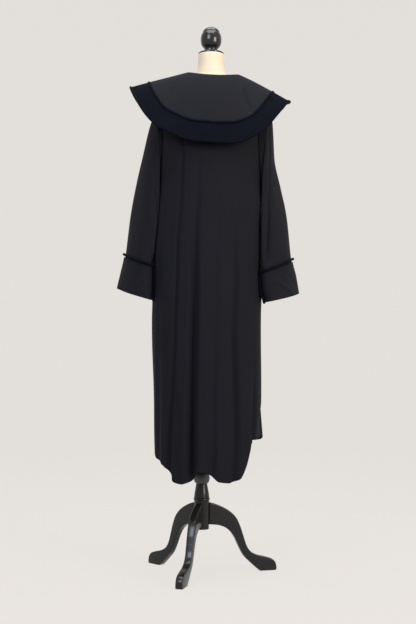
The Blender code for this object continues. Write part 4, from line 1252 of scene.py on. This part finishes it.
# %% Tent and lights
TENT = (0.056, 0.048, 0.051)
TENT_GLOW = (0.718, 0.697, 0.664)
TENT_RADIUS, TENT_HEIGHT, TENT_SWEEP = 8.0, 8.5, 3.0    # the sweep is the floor's curve up


def add_tent():
    """A bowl swept round: a flat floor, a long curve up into the wall and a domed top."""
    rise = np.linspace(0, np.pi / 2, 24)
    dome, turn = rise[1:-1], turns(96)
    radius = np.concatenate([
        [0.3, 1, 2, 3, 4],
        TENT_RADIUS - TENT_SWEEP + TENT_SWEEP * np.sin(rise),
        TENT_RADIUS * np.cos(dome),
    ])[:, None]
    height = np.concatenate([
        np.zeros(5),
        TENT_SWEEP * (1 - np.cos(rise)),
        TENT_SWEEP + (TENT_HEIGHT - TENT_SWEEP) * np.sin(dome),
    ])[:, None]
    rings = np.broadcast_arrays(radius * np.sin(turn), -radius * np.cos(turn), height)
    paper = Finish("studio paper", Base_Color=shade(TENT), Roughness=1.0, Specular_IOR_Level=0.0,
                   Emission_Color=shade(TENT_GLOW), Emission_Strength=1.0)
    paper.material.cycles.emission_sampling = "NONE"
    tent = skin("studio_tent", np.stack(rings, axis=-1), paper.material, outwards=False)


def add_softbox(name, place, aim, size, power, color):
    """A soft light at a place, turned to face a point: an oblong of that width and height."""
    light = bpy.data.lights.new(name, "AREA")
    light.shape = "RECTANGLE"
    light.size, light.size_y = size
    light.energy = power
    light.color = color
    made = in_scene(name, light)
    made.location = place
    made.rotation_euler = (Vector(aim) - Vector(place)).to_track_quat("-Z", "Y").to_euler()
    made.visible_camera = False
    print(f"{name}: {power} W from {place}")


add_tent()
add_softbox("window", (-1.7, -3.4, 2.85), (0, 0, 1.2), (1.5, 1.6), 92, (0.74, 0.80, 1.0))
add_softbox("fill", (2.6, -2.6, 1.8), (0, 0, 1.0), (1.6, 2.0), 118, (1.0, 0.96, 0.84))
add_softbox("overhead", (0, -0.4, 3.8), (0, 0, 0.9), (2.4, 2.4), 106, (0.92, 0.98, 1.0))

# %% [markdown]
# ## The camera
# A long lens, level and square to the robe's back. It stands at about hip height and is shifted
# up in its frame, so the uprights stay upright.

# %% Camera
CAMERA_DISTANCE, CAMERA_HEIGHT = 3.25, 0.666
LENS, SENSOR = 60, 36   # in millimetres
FRAME_SHIFT = 1 / 13    # how far the frame is shifted up, as a share of its height


def add_camera():
    """The view from behind the robe."""
    camera = in_scene("camera", bpy.data.cameras.new("camera"))
    camera.location = (0, MIDDLE_Y - CAMERA_DISTANCE, CAMERA_HEIGHT)
    camera.rotation_euler = (np.pi / 2, 0, 0)
    camera.data.lens = LENS
    camera.data.sensor_width = SENSOR
    camera.data.shift_y = FRAME_SHIFT
    bpy.context.scene.camera = camera


add_camera()
bpy.context.scene.view_settings.view_transform = "Standard"
print(f"camera {CAMERA_DISTANCE} m behind the robe, {CAMERA_HEIGHT} m above the floor")
